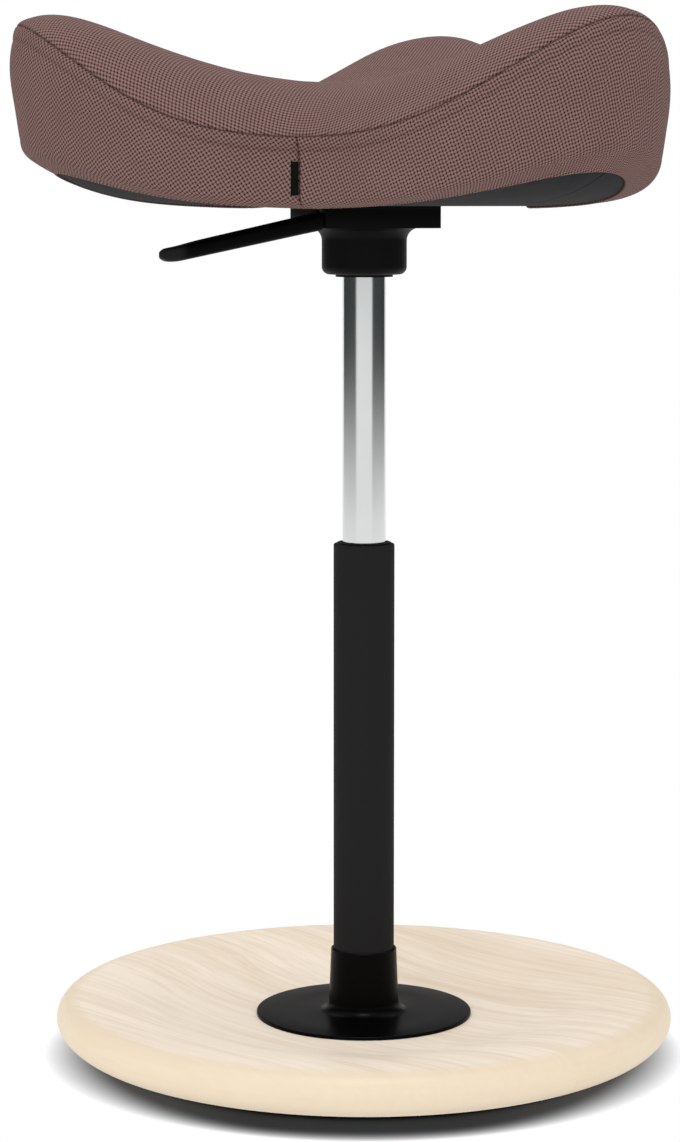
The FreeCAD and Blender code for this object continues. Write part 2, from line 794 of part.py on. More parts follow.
def waves(angle):
    """Values of the two waves round the column at an angle in degrees."""
    a = math.radians(angle - 180.0)
    return math.cos(3 * a), math.cos(6 * a)


def seat_edge(angle):
    """Seam radius, seam height and lift of the underside at the edge."""
    c3, c6 = waves(angle)
    radius = seat_mean_radius + seat_lobe_radius * c3 + seat_second_radius * c6
    seam = seam_mean_height + seam_lobe_height * c3 + seam_second_height * c6
    lift = underside_lift * ((1 + c3) / 2) ** underside_power
    lift += underside_flank_lift * (1 - c6) / 2
    return radius, seam, lift


def bottom_radius(angle):
    """Radius of the seat where its side meets the underside."""
    c3 = waves(angle)[0]
    return seat_edge(angle)[0] - (side_lean_mean + side_lean_lobe * c3) - side_tuck


def top_point(angle, share):
    """Point on the top: a saddle with lobes up, valleys down and a rounded edge."""
    c3, c6 = waves(angle)
    radius, seam, _ = seat_edge(angle)
    drop = edge_drop_mean + edge_drop_lobe * c3
    shift = crown_lobe_shift * c3 + crown_second_shift * c6
    height = seat_centre_height + crown_rise * share ** 2
    height += (seam - seat_centre_height - crown_rise + drop) * share ** 3
    height += shift * (share ** 2 - share ** 3) - drop * share ** 8
    return radius * share, seat_base + height


def side_point(angle, share):
    """Point on the side band, from the seam at 0 down to the underside at 1."""
    c3 = waves(angle)[0]
    radius, seam, lift = seat_edge(angle)
    tall = seam - lift
    bulge = (side_bulge_mean + side_bulge_lobe * c3) * math.sin(math.pi * share)
    bulge *= 1 + side_bulge_skew * math.cos(math.pi * share)
    lean = (side_lean_mean + side_lean_lobe * c3) * share
    start = 1 - side_tuck_height / tall
    turn = max(0.0, (share - start) / (1 - start))
    tuck = side_tuck * (1 - math.sqrt(max(0.0, 1 - turn * turn)))
    return radius + bulge - lean - tuck, seat_base + seam - tall * share


def under_height(angle, radius):
    """Height of the underside: flat in the middle, lifted towards the lobes."""
    lift = seat_edge(angle)[2]
    if radius <= seat_flat_radius:
        return seat_base
    return seat_base + lift * (radius / bottom_radius(angle)) ** underside_curve


def hem_radius(angle):
    """Radius of the fabric's hem under the seat."""
    c3, c6 = waves(angle)
    width = hem_width_mean + hem_width_lobe * c3 + hem_width_second * c6
    return bottom_radius(angle) - width


def corner_points(angle, inset):
    """Three points round the lower edge, on the fabric or inside it by inset."""
    outer = bottom_radius(angle)
    lift = seat_edge(angle)[2]
    seam = seat_edge(angle)[1]
    share = 1 - bottom_edge_round / (seam - lift)
    start = side_point(angle, share)
    end_radius = outer - bottom_edge_round
    end = (end_radius, under_height(angle, end_radius))
    cut = bottom_edge_round * (1 - math.sqrt(0.5))
    middle = (outer - cut, seat_base + lift + cut * bottom_edge_fullness)
    diagonal = inset * math.sqrt(0.5)
    return [(start[0] - inset, start[1]), (middle[0] - diagonal, middle[1] + diagonal),
            (end[0], end[1] + inset)]


def ring(point_at):
    """Closed ring of arcs round the column through the points of a formula."""
    steps = 2 * arcs_per_ring
    points = []
    for i in range(steps):
        angle = 360.0 * i / steps
        radius, height = point_at(angle)
        a = math.radians(angle)
        points.append(V(radius * math.cos(a), radius * math.sin(a), height))
    edges = []
    for i in range(0, steps, 2):
        edges.append(Part.Arc(points[i], points[i + 1], points[(i + 2) % steps]).toShape())
    return Part.Wire(edges)


def lofted(rings, closed=False):
    """Solid through rings in order, with flat ends or closed on itself."""
    return Part.makeLoft(rings, True, True, closed)


top_shares = [0.12, 0.3, 0.48, 0.63, 0.75, 0.84, 0.91, 0.96]
side_shares = [0.12, 0.3, 0.5, 0.7]
under_shares = [0.0, 0.3, 0.6, 0.82, 1.0]


def top_ring(share, inset):
    """Ring on the top surface, or below it by inset; the first one is flat."""
    if share == top_shares[0]:
        height = seat_base + seat_centre_height - inset
        return ring(lambda a: (top_point(a, share)[0], height))
    return ring(lambda a: (top_point(a, share)[0], top_point(a, share)[1] - inset))


def seam_ring(inset):
    """Ring along the seam, or inside it."""
    return ring(lambda a: (seat_edge(a)[0] - inset, seat_base + seat_edge(a)[1] - inset))


def side_ring(share, inset):
    """Ring on the side band, or inside it."""
    return ring(lambda a: (side_point(a, share)[0] - inset, side_point(a, share)[1]))


def corner_ring(index, inset):
    """Ring round the lower edge, or inside it."""
    return ring(lambda a: corner_points(a, inset)[index])


def under_ring(share, raised, gap=0.0):
    """Ring under the seat between its flat middle and the hem, raised from it."""
    def point(a):
        radius = seat_flat_radius + (hem_radius(a) - gap - seat_flat_radius) * share
        return radius, under_height(a, radius) + raised
    return ring(point)


def outside_down(inset):
    """Rings from just under the seam down to the end of the lower edge."""
    rings = [side_ring(share, inset) for share in side_shares]
    rings += [corner_ring(i, inset) for i in range(3)]
    return rings


def cover_top():
    """Top panel of the fabric cover, from the seam to the middle."""
    outer = [top_ring(s, 0.0) for s in top_shares] + [seam_ring(0.0)]
    inner = [top_ring(s, cover_thickness) for s in top_shares] + [seam_ring(cover_thickness)]
    return lofted(outer + inner[::-1])


def cover_side():
    """Side band of the fabric cover, folded under to its hem."""
    outer = [seam_ring(0.0)] + outside_down(0.0) + [under_ring(1.0, 0.0)]
    inner = [seam_ring(cover_thickness)] + outside_down(cover_thickness)
    inner += [shell_low_ring(), under_ring(1.0, cover_thickness)]
    return lofted(outer + inner[::-1], True)


def underside_cloth():
    """Dark cloth under the seat, inside the hem."""
    low = cover_thickness - cloth_thickness
    lower = [under_ring(s, low) for s in under_shares[:-1]] + [under_ring(1.0, low, hem_gap)]
    upper = [under_ring(s, cover_thickness) for s in under_shares[:-1]]
    upper += [under_ring(1.0, cover_thickness, hem_gap)]
    cloth = lofted(lower + upper[::-1])
    for x, y in pillar_places():
        cloth = cloth.cut(cylinder(m6_radius + m6_clearance, seat_base, shell_base + overcut, x, y))
    return cloth


def shell_top_ring(share):
    """Ring on top of the shell, which thins from its middle to its edge."""
    def point(a):
        edge = bottom_radius(a) - bottom_edge_round - shell_edge_inset
        radius = seat_flat_radius + (edge - seat_flat_radius) * share
        thick = shell_thickness + (shell_edge_thickness - shell_thickness) * share
        return radius, under_height(a, radius) + cover_thickness + thick
    return ring(point)


def shell_low_ring():
    """Lower edge of the shell's rim."""
    def point(a):
        radius = bottom_radius(a) - bottom_edge_round - shell_edge_inset
        return radius, under_height(a, radius) + cover_thickness
    return ring(point)


def seat_shell():
    """Moulded shell that carries the foam, bored for the four nuts."""
    lower = [under_ring(s, cover_thickness) for s in under_shares] + [shell_low_ring()]
    upper = [shell_top_ring(s) for s in under_shares]
    shell = lofted(lower + upper[::-1])
    for x, y in pillar_places():
        shell = shell.cut(cylinder(nut_barrel_radius + seat_fit, shell_base - overcut,
                                 nut_top + overcut, x, y))
        shell = shell.cut(cylinder(nut_flange_radius + seat_fit, nut_top - nut_flange_thickness,
                                   nut_top + overcut, x, y))
    return shell


def seat_foam():
    """Foam of the seat, from the shell up to the cover."""
    rings = [shell_top_ring(s) for s in under_shares] + [shell_low_ring()]
    rings += outside_down(cover_thickness)[::-1]
    rings += [seam_ring(cover_thickness)]
    rings += [top_ring(s, cover_thickness) for s in top_shares[::-1]]
    return lofted(rings)


def label_tab():
    """Small bare tab beside the side seam, following the fabric."""
    wires = []
    for step in (label_seam_gap, label_seam_gap + label_width):
        angle = label_angle - math.degrees(step / seat_edge(label_angle)[0])
        seam = seat_edge(angle)[1]
        tall = seam - seat_edge(angle)[2]
        profile = []
        for k in range(label_steps + 1):
            drop = seam - label_low - label_height * k / label_steps
            profile.append(side_point(angle, drop / tall))
        outline = [(r + label_lift, z) for r, z in profile]
        outline += [(r + label_lift + label_thickness, z) for r, z in profile[::-1]]
        a = math.radians(angle)
        corners = [V(r * math.cos(a), r * math.sin(a), z) for r, z in outline]
        wires.append(Part.makePolygon(corners + corners[:1]))
    return Part.makeLoft(wires, True, True)


def build():
    """All pieces by name."""
    makers = [
        base_disc, rocker_pad, hub_flange, foot_screws, foot_washers, stand_tube,
        tube_bottom_plate, guide_bush, bearing_race_lower, bearing_balls, bearing_cage,
        piston_rod, retaining_clip, bearing_race_upper, bump_stop, piston, piston_ring,
        piston_nut, gas_cylinder, rod_guide, rod_seal, pressure_sleeve, valve_body,
        valve_ring, release_pin, mechanism_body, seat_plate, cup_cover, pivot_pin,
        seat_bolts, seat_nuts, lever, seat_shell, seat_foam, cover_top, cover_side,
        underside_cloth, label_tab,
    ]
    return {maker.__name__: maker() for maker in makers}


os.makedirs("parts", exist_ok=True)
for name, shape in build().items():
    shape.exportStep("parts/" + name + ".step")
    print(name, "solids", len(shape.Solids), "valid", shape.isValid(),
          "cm3", round(shape.Volume / 1000, 2))
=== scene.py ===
"""Perch stool: the finished look of every surface, made around its construction frame.

Lengths are in metres. The floor is z = 0, the column axis is x = y = 0, and one lobe of the
seat, with the lever under it, points to -X.
"""

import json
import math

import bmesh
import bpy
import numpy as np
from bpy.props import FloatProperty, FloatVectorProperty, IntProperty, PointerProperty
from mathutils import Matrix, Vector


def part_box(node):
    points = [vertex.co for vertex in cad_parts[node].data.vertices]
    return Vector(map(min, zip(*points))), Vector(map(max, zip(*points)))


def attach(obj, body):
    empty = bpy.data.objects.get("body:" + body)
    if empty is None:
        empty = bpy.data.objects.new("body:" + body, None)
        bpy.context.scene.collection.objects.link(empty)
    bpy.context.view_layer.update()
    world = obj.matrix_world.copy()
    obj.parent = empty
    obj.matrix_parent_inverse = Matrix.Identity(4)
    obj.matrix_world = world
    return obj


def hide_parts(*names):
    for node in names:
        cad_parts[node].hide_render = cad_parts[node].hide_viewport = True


bl_info = {
    "name": "Perch Stool",
    "version": (1, 0, 0),
    "blender": (4, 5, 0),
    "location": "View3D > Sidebar > Perch Stool",
    "description": "Makes the finished surfaces of a perch stool around its construction frame",
    "category": "Add Mesh",
}

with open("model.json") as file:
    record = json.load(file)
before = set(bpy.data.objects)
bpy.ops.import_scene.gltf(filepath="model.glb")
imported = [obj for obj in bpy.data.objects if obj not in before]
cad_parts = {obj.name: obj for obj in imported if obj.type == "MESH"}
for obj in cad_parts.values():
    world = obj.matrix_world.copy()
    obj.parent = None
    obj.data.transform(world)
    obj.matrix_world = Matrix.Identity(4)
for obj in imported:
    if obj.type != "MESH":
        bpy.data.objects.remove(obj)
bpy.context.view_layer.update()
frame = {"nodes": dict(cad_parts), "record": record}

MM = 0.001
HEM_ROWS = 20
# Painted shade along the seams: its darkness and its half width.
SEAM_SHADE = 0.95
SEAM_SHADE_WIDTH = 0.8 * MM
SLACK_TOP = 0.35 * MM
SLACK_SIDE = 0.3 * MM
SLACK_REACH = 20 * MM
WHITE = (1.0, 1.0, 1.0, 1.0)


def radius_of(node):
    """Radius of a round node of the frame about the column axis."""
    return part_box(node)[1].x


def low_of(node):
    """Lowest height of a node of the frame."""
    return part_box(node)[0].z


def high_of(node):
    """Highest height of a node of the frame."""
    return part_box(node)[1].z


def length_prop(description, default):
    """Length that a user may change."""
    return FloatProperty(description=description, default=default, unit="LENGTH", precision=5)


def share_prop(description, default):
    """Plain number that a user may change."""
    return FloatProperty(description=description, default=default)


def angle_prop(description, degrees):
    """Angle that a user may change."""
    return FloatProperty(description=description, default=math.radians(degrees), subtype="ANGLE")


def colour_prop(description, default):
    """Linear colour that a user may change."""
    return FloatVectorProperty(description=description, default=default, size=3, subtype="COLOR",
                               min=0.0, max=1.0)


class FootSettings(bpy.types.PropertyGroup):
    """Sizes of the wooden foot and the pad under it."""

    radius: length_prop("Radius of the wooden foot", radius_of("base_disc"))
    rim_height: length_prop("Widest point of the rim above the floor", 24.2 * MM)
    rim_top_width: length_prop("Width of the round over the rim", 13.3 * MM)
    rim_under_width: length_prop("Width of the round under the rim", 33.9 * MM)
    dish_radius: length_prop("Radius of the flat under the flange", radius_of("hub_flange"))
    dish_height: length_prop("Top of the wood under the flange", 22.7 * MM)
    bore_gap: length_prop("Wood kept clear of the spigot", 0.3 * MM)
    pad_flat_radius: length_prop("Part of the pad that stands on the floor", 109.95 * MM)
    pad_edge_lift: length_prop("Rise of the pad towards its edge", 2.6 * MM)
    pad_edge_round: length_prop("Round on the pad's outer edge", 0.7 * MM)
    rib_depth: length_prop("Depth of the grooves in the pad", 0.8 * MM)
    rib_pitch: length_prop("Distance between the grooves in the pad", 9.0 * MM)
    stave_width: length_prop("Width of one glued stave", 47.0 * MM)
    grain_direction: angle_prop("Direction of the grain, from +X", -60.0)


class ColumnSettings(bpy.types.PropertyGroup):
    """Sizes of the flange, the stand tube, the bush, the cylinder and the cup."""

    flange_thickness: length_prop("Thickness of the flange", 2.2 * MM)
    flange_round: length_prop("Round on the flange's edge", 0.8 * MM)
    collar_fillet: length_prop("Fillet between collar and flange", 6.5 * MM)
    collar_foot_wall: length_prop("Wall of the collar at its foot", 3.0 * MM)
    collar_top_wall: length_prop("Wall of the collar at its top", 1.6 * MM)
    collar_chamfer: length_prop("Chamfer on the collar's top", 0.5 * MM)
    spigot_wall: length_prop("Wall of the spigot in the wood", 3.3 * MM)
    tube_round: length_prop("Round on the tube's upper edge", 1.2 * MM)
    tube_wall: length_prop("Wall of the stand tube", 2.0 * MM)
    lip_inset: length_prop("Slope of the bush's lip", 0.8 * MM)
    cylinder_wall: length_prop("Wall of the gas cylinder", 2.2 * MM)
    taper_height: length_prop("Height of the cylinder's taper", 30.5 * MM)
    taper_drop: length_prop("Loss of radius over the taper", 0.9 * MM)
    cup_radius: length_prop("Radius of the cup", 27.25 * MM)
    cup_corner: length_prop("Round on the cup's lower edge", 5.0 * MM)
    cup_wall: length_prop("Wall of the cup", 2.0 * MM)
    fit: length_prop("Gap between turned pieces that fit each other", 0.05 * MM)
    bevel: length_prop("Small round on the casting's edges", 0.6 * MM)


class LeverSettings(bpy.types.PropertyGroup):
    """Sizes of the release lever."""

    middle: length_prop("Middle line of the lever along Y", -35.0 * MM)
    root_width: length_prop("Width beside the casting", 22.0 * MM)
    tip_width: length_prop("Width of the flattened end", 26.0 * MM)
    slope: angle_prop("Fall of the lever towards its tip", 12.7)
    root_height: length_prop("Thickness beside the casting", 11.5 * MM)
    tip_height: length_prop("Thickness near the tip", 9.7 * MM)
    tip_lift: length_prop("Rise of the underside at the very end", 2.6 * MM)
    root_gap: length_prop("Gap between the arm and the casting", 1.1 * MM)
    root_top: length_prop("Top of the root above the casting's underside", 10.2 * MM)
    paddle_dip: length_prop("Depth of the thumb's hollow in the end", 0.9 * MM)


class SeatSettings(bpy.types.PropertyGroup):
    """Waves of the seat's outline and heights, and the sizes of its seams."""

    mean_radius: length_prop("Mean radius of the seam", 184.1 * MM)
    lobe_radius: length_prop("Wave of the radius, three round the seat", 38.8 * MM)
    second_radius: length_prop("Wave of the radius, six round the seat", -2.4 * MM)
    third_radius: length_prop("Wave of the radius, nine round the seat", 1.7 * MM)
    seam_mean: length_prop("Mean height of the seam", 69.0 * MM)
    seam_lobe: length_prop("Wave of the seam's height, three round", 34.7 * MM)
    seam_second: length_prop("Wave of the seam's height, six round", 8.0 * MM)
    seam_third: length_prop("Wave of the seam's height, nine round", 0.5 * MM)
    seam_turn: angle_prop("Turn of the upright seams from the valleys", -1.5)
    centre_height: length_prop("Height of the middle of the top", 77.2 * MM)
    crown_rise: length_prop("Rise of the top away from its middle", 15.75 * MM)
    lobe_shift: length_prop("Fullness of the top over the lobes", 9.95 * MM)
    second_shift: length_prop("Fullness of the top, six round", 2.8 * MM)
    drop_mean: length_prop("Mean fall of the top's round edge", 31.2 * MM)
    drop_lobe: length_prop("Wave of that fall", 14.7 * MM)
    lean_mean: length_prop("Mean lean of the side", 3.5 * MM)
    lean_lobe: length_prop("Wave of the lean", -1.9 * MM)
    bulge_mean: length_prop("Mean bulge of the side", 0.6 * MM)
    bulge_lobe: length_prop("Wave of the bulge", 3.1 * MM)
    bulge_skew: share_prop("Fullness of the bulge towards the seam", 0.79)
    tuck: length_prop("How far the side turns in at its foot", 2.7 * MM)
    tuck_height: length_prop("Height over which it turns in", 20.4 * MM)
    under_lift: length_prop("Rise of the underside under the lobes", 36.1 * MM)
    under_power: share_prop("How tightly that rise keeps to the lobes", 2.45)
    under_flank: length_prop("Rise between lobes and valleys", 4.0 * MM)
    under_curve: share_prop("Power of the radius in that rise", 5.45)
    flat_radius: length_prop("Flat middle of the underside", 66.0 * MM)
    edge_round: length_prop("Round of the lower edge", 6.0 * MM)
    hem_mean: length_prop("Mean width of the fabric folded under", 22.9 * MM)
    hem_lobe: length_prop("Wave of that width, three round", -0.9 * MM)
    hem_second: length_prop("Wave of that width, six round", -1.15 * MM)
    hem_roll: length_prop("Thickness of the rolled hem", 0.9 * MM)
    cover: length_prop("Thickness of the fabric cover", 1.6 * MM)
    cloth: length_prop("Thickness of the cloth underneath", 1.0 * MM)
    shell_middle: length_prop("Thickness of the shell in its middle", 12.0 * MM)
    shell_edge: length_prop("Thickness of the shell at its edge", 8.0 * MM)
    seam_depth: length_prop("Depth of the seams", 1.3 * MM)
    seam_width: length_prop("Half width of the seams", 0.9 * MM)
    crease_drop: length_prop("Crease of the seam allowance below the seam", 9.0 * MM)
    crease_depth: length_prop("Depth of that crease", 0.35 * MM)
    pucker_pitch: length_prop("Distance between the stitches' puckers", 5.5 * MM)
    puff: length_prop("Fullness of the fabric beside the seams", 0.45 * MM)
    columns: IntProperty(description="Mesh columns between two valleys", default=240)


class WeaveSettings(bpy.types.PropertyGroup):
    """Scale and direction of the seat fabric's weave."""

    pitch: length_prop("Distance between two threads", 2.18 * MM)
    top_direction: angle_prop("Direction of the warp on the top, from +X", 60.0)
    left_turn: angle_prop("Turn of the weave on the band left of the tab", 30.5)
    right_turn: angle_prop("Turn of the weave on the band right of the tab", 23.0)
    back_turn: angle_prop("Turn of the weave on the band at the back", 22.0)


class FinishSettings(bpy.types.PropertyGroup):
    """Colours of the materials."""

    wood_light: colour_prop("Pale streaks of the wood", (0.95, 0.83, 0.69))
    wood_dark: colour_prop("Darker streaks of the wood", (0.78, 0.635, 0.47))
    wood_rim: colour_prop("Edge band of the foot", (0.79, 0.665, 0.49))
    fabric_thread: colour_prop("Thread of the seat fabric", (0.154, 0.086, 0.078))
    # Painted highlight on the raised part of a thread, and painted shade in the gaps between threads.
    fabric_highlight: colour_prop("Raised part of a thread", (0.256, 0.159, 0.144))
    fabric_pit_shade: colour_prop("Gap between the threads", (0.018, 0.006, 0.006))
    cloth_dark: colour_prop("Dark fibres of the underside cloth", (0.0095, 0.0098, 0.0112))
    cloth_light: colour_prop("Light fibres of the underside cloth", (0.0215, 0.022, 0.0245))
    steel: colour_prop("Polished steel", (0.74, 0.75, 0.75))
    black: colour_prop("Powder coat of the column", (0.0160, 0.0160, 0.0163))
    deep_black: colour_prop("Casting and plastic under the seat", (0.0042, 0.0042, 0.0044))


class StageSettings(bpy.types.PropertyGroup):
    """Camera and light."""

    camera_turn: angle_prop("Camera round the column, from -Y", -14.9)
    camera_distance: length_prop("Camera from the column axis", 1.9812)
    camera_height: length_prop("Camera above the floor", 548.94 * MM)
    camera_pitch: angle_prop("Camera looks down by this", 5.2955)
    camera_yaw: angle_prop("Camera looks left of the column by this", 0.449)
    lens: share_prop("Focal length in millimetres on a 36 mm frame", 97.29)
    shift: share_prop("Vertical shift of the lens", -0.07)
    sky: share_prop("Strength of the even light from all round", 1.0)
    lamp: share_prop("Power of the large lamp overhead", 10.0)
    front: share_prop("Power of the soft lamp beside the camera", 12.0)


def settings(name):
    """Settings of one part of the stool."""
    return getattr(bpy.context.scene, "perch_" + name)


# Meshes

def mesh_piece(name, points, quads, triangles=None, uv=None, marks=None):
    """Closed mesh from arrays, turned so that its faces point outwards.

    The sign of the volume, a sum of corner products over all faces, tells which way they point.
    Marks are one number for each point, which materials read as the attribute "mark".
    """
    triangles = np.zeros((0, 3), int) if triangles is None else triangles
    halves = np.concatenate([quads[:, [0, 1, 2]], quads[:, [0, 2, 3]], triangles])
    a, b, c = points[halves[:, 0]], points[halves[:, 1]], points[halves[:, 2]]
    if np.einsum("ij,ij->i", a, np.cross(b, c)).sum() < 0:
        quads, triangles = quads[:, ::-1], triangles[:, ::-1]
        uv = None if uv is None else uv[:, ::-1]
    corners = np.concatenate([quads.ravel(), triangles.ravel()])
    starts = np.concatenate([np.arange(len(quads)) * 4, quads.size + np.arange(len(triangles)) * 3])
    mesh = bpy.data.meshes.new(name)
    mesh.vertices.add(len(points))
    mesh.vertices.foreach_set("co", np.ascontiguousarray(points, np.float32).ravel())
    mesh.loops.add(len(corners))
    mesh.loops.foreach_set("vertex_index", corners.astype(np.int32))
    mesh.polygons.add(len(starts))
    mesh.polygons.foreach_set("loop_start", starts.astype(np.int32))
    mesh.update(calc_edges=True)
    if uv is not None:
        layer = mesh.uv_layers.new(name="weave")
        flat = np.zeros((len(corners), 2), np.float32)
        flat[:quads.size] = uv.reshape(-1, 2)
        layer.uv.foreach_set("vector", flat.ravel())
    if marks is not None:
        layer = mesh.attributes.new("mark", "FLOAT", "POINT")
        layer.data.foreach_set("value", marks.astype(np.float32))
    mesh.validate()
    mesh.shade_smooth()
    mesh.set_sharp_from_angle(angle=math.radians(38.0))
    piece = bpy.data.objects.new(name, mesh)
    bpy.context.scene.collection.objects.link(piece)
    return piece


def ring_faces(rows, columns, closed):
    """Quads between neighbouring rings, each ring closed round the column."""
    index = np.arange(rows * columns).reshape(rows, columns)
    low = index if closed else index[:-1]
    high = np.roll(index, -1, axis=0) if closed else index[1:]
    quads = np.stack([low, np.roll(low, -1, axis=1), np.roll(high, -1, axis=1), high], axis=-1)
    return quads.reshape(-1, 4)


def capped(points, rows, columns):
    """Points and triangles that close the first and the last ring to a pole each."""
    rings = points.reshape(rows, columns, 3)
    poles = np.stack([rings[0].mean(axis=0), rings[-1].mean(axis=0)])
    first = np.arange(columns)
    last = first + (rows - 1) * columns
    count = len(points)
    fans = [np.stack([np.roll(first, -1), first, np.full(columns, count)], axis=-1),
            np.stack([last, np.roll(last, -1), np.full(columns, count + 1)], axis=-1)]
    return np.concatenate([points, poles]), np.concatenate(fans)


def ring_piece(name, rings, closed, uv=None, marks=None):
    """Closed piece through rings of points, an array of rows, columns and three.

    Marks are given for the first rings, and are zero on the others and at the poles.
    """
    rows, columns = rings.shape[:2]
    points = rings.reshape(-1, 3)
    quads = ring_faces(rows, columns, closed)
    triangles = None
    if not closed:
        points, triangles = capped(points, rows, columns)
    if marks is not None:
        spare = np.zeros(len(points) - marks.size)
        marks = np.concatenate([marks.ravel(), spare])
    return mesh_piece(name, points, quads, triangles, uv, marks)


def circles(radius, height, columns, centre=(0.0, 0.0)):
    """Rings round a centre: radius times cosine and sine of the angle, at each height."""
    angle = np.linspace(0.0, 2 * math.pi, columns, endpoint=False)
    return np.stack([centre[0] + radius * np.cos(angle), centre[1] + radius * np.sin(angle),
                     np.broadcast_to(height, (len(radius), columns))], axis=-1)


def turned(name, profile, columns=192, closed=True):
    """Surface of revolution of a profile, a list of radius and height."""
    profile = np.asarray(profile)
    return ring_piece(name, circles(profile[:, :1], profile[:, 1:], columns), closed)


def arc(centre, radii, start, end, steps=8):
    """Points on an ellipse round a centre, from one angle to another in degrees."""
    a = np.radians(np.linspace(start, end, steps + 1))
    return [(centre[0] + radii[0] * math.cos(t), centre[1] + radii[1] * math.sin(t)) for t in a]


def normals_of(rings):
    """Unit normals of a grid of rings, from the cross product of its two tangents."""
    along = np.gradient(rings, axis=0)
    round_ = np.roll(rings, -1, axis=1) - np.roll(rings, 1, axis=1)
    normal = np.cross(round_, along)
    return normal / np.maximum(np.linalg.norm(normal, axis=-1, keepdims=True), 1e-12)


def finished(piece, body, slot, material, *nodes):
    """Gives a piece its material and its body, and hides the nodes that it stands for. The slot is not
    used.
    """
    piece.data.materials.append(material)
    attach(piece, body)
    if nodes:
        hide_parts(*nodes)


# Node trees

class Graph:
    """Adds nodes to a node tree and links them."""

    def __init__(self, tree):
        self.tree = tree
        tree.nodes.clear()

    def node(self, kind, **settings_):
        """New node with some of its settings."""
        made = self.tree.nodes.new(kind)
        for key, value in settings_.items():
            setattr(made, key, value)
        return made

    def put(self, socket, value):
        """Links an output to an input, or sets the input's own value."""
        if isinstance(value, bpy.types.NodeSocket):
            self.tree.links.new(value, socket)
        elif value is not None:
            socket.default_value = value

    def math(self, operation, *values, clamp=False):
        """Math node with up to three values."""
        made = self.node("ShaderNodeMath", operation=operation, use_clamp=clamp)
        for socket, value in zip(made.inputs, values):
            self.put(socket, value)
        return made.outputs[0]

    def split(self, vector):
        """X, Y and Z of a vector."""
        made = self.node("ShaderNodeSeparateXYZ")
        self.put(made.inputs[0], vector)
        return made.outputs[0], made.outputs[1], made.outputs[2]

    def joined(self, x, y, z):
        """Vector of three values."""
        made = self.node("ShaderNodeCombineXYZ")
        for socket, value in zip(made.inputs, (x, y, z)):
            self.put(socket, value)
        return made.outputs[0]

    def step(self, value, low, high, start=0.0, end=1.0):
        """Smooth step of a value between two limits, mapped to start and end."""
        made = self.node("ShaderNodeMapRange", interpolation_type="SMOOTHSTEP")
        for socket, entry in zip(made.inputs, (value, low, high, start, end)):
            self.put(socket, entry)
        return made.outputs[0]

    def mix(self, share, first, second):
        """Colour between two colours."""
        made = self.node("ShaderNodeMix", data_type="RGBA")
        self.put(made.inputs["Factor"], share)
        colours = [s for s in made.inputs if s.type == "RGBA"]
        self.put(colours[0], first)
        self.put(colours[1], second)
        return [s for s in made.outputs if s.type == "RGBA"][0]

    def noise(self, vector, scale, detail=2.0, roughness=0.5):
        """Value of a noise, near 0.5 on average."""
        made = self.node("ShaderNodeTexNoise")
        for name, value in (("Vector", vector), ("Scale", scale), ("Detail", detail),
                            ("Roughness", roughness)):
            self.put(made.inputs[name], value)
        return made.outputs[0]

    def length(self, x, y):
        """Distance of x and y from zero."""
        return self.math("SQRT", self.math("ADD", self.math("MULTIPLY", x, x),
                                           self.math("MULTIPLY", y, y)))

    def marks(self):
        """The marks of the mesh."""
        return self.node("ShaderNodeAttribute", attribute_name="mark").outputs["Fac"]

    def seen(self):
        """One for rays from the camera, from gloss and through glass, and zero for all others."""
        path = self.node("ShaderNodeLightPath")
        seen = self.math("MAXIMUM", path.outputs["Is Camera Ray"], path.outputs["Is Glossy Ray"])
        return self.math("MAXIMUM", seen, path.outputs["Is Transmission Ray"])

    def mix_shaders(self, share, first, second):
        """Shader between those of two nodes."""
        made = self.node("ShaderNodeMixShader")
        for socket, value in zip(made.inputs, (share, first.outputs[0], second.outputs[0])):
            self.put(socket, value)
        return made.outputs[0]

    def stretched(self, vector, scale, turn=0.0):
        """Coordinates turned about Z and scaled along each axis."""
        made = self.node("ShaderNodeMapping")
        self.put(made.inputs["Vector"], vector)
        turned_ = self.node("ShaderNodeMapping")
        made.inputs["Rotation"].default_value = (0.0, 0.0, turn)
        self.tree.links.new(made.outputs[0], turned_.inputs["Vector"])
        turned_.inputs["Scale"].default_value = scale
        return turned_.outputs[0]

    def group(self, tree, **values):
        """Places a node group; spaces in its sockets' names are written as underscores."""
        made = self.node("ShaderNodeGroup", node_tree=tree)
        for key, value in values.items():
            self.put(made.inputs[key.replace("_", " ")], value)
        return made.outputs


def group_tree(name, inputs, outputs):
    """Empty node group with named sockets, its graph and its two ends."""
    tree = bpy.data.node_groups.new(name, "ShaderNodeTree")
    for label, kind, default in inputs:
        socket = tree.interface.new_socket(label, in_out="INPUT", socket_type="NodeSocket" + kind)
        if default is not None:
            socket.default_value = default
    for label, kind in outputs:
        tree.interface.new_socket(label, in_out="OUTPUT", socket_type="NodeSocket" + kind)
    graph = Graph(tree)
    start = graph.node("NodeGroupInput")
    end = graph.node("NodeGroupOutput")
    return tree, graph, start.outputs, end.inputs


def once(name, maker):
    """Node group or material of that name, made the first time that it is asked for."""
    found = bpy.data.node_groups.get(name) or bpy.data.materials.get(name)
    return found if found else maker(name)


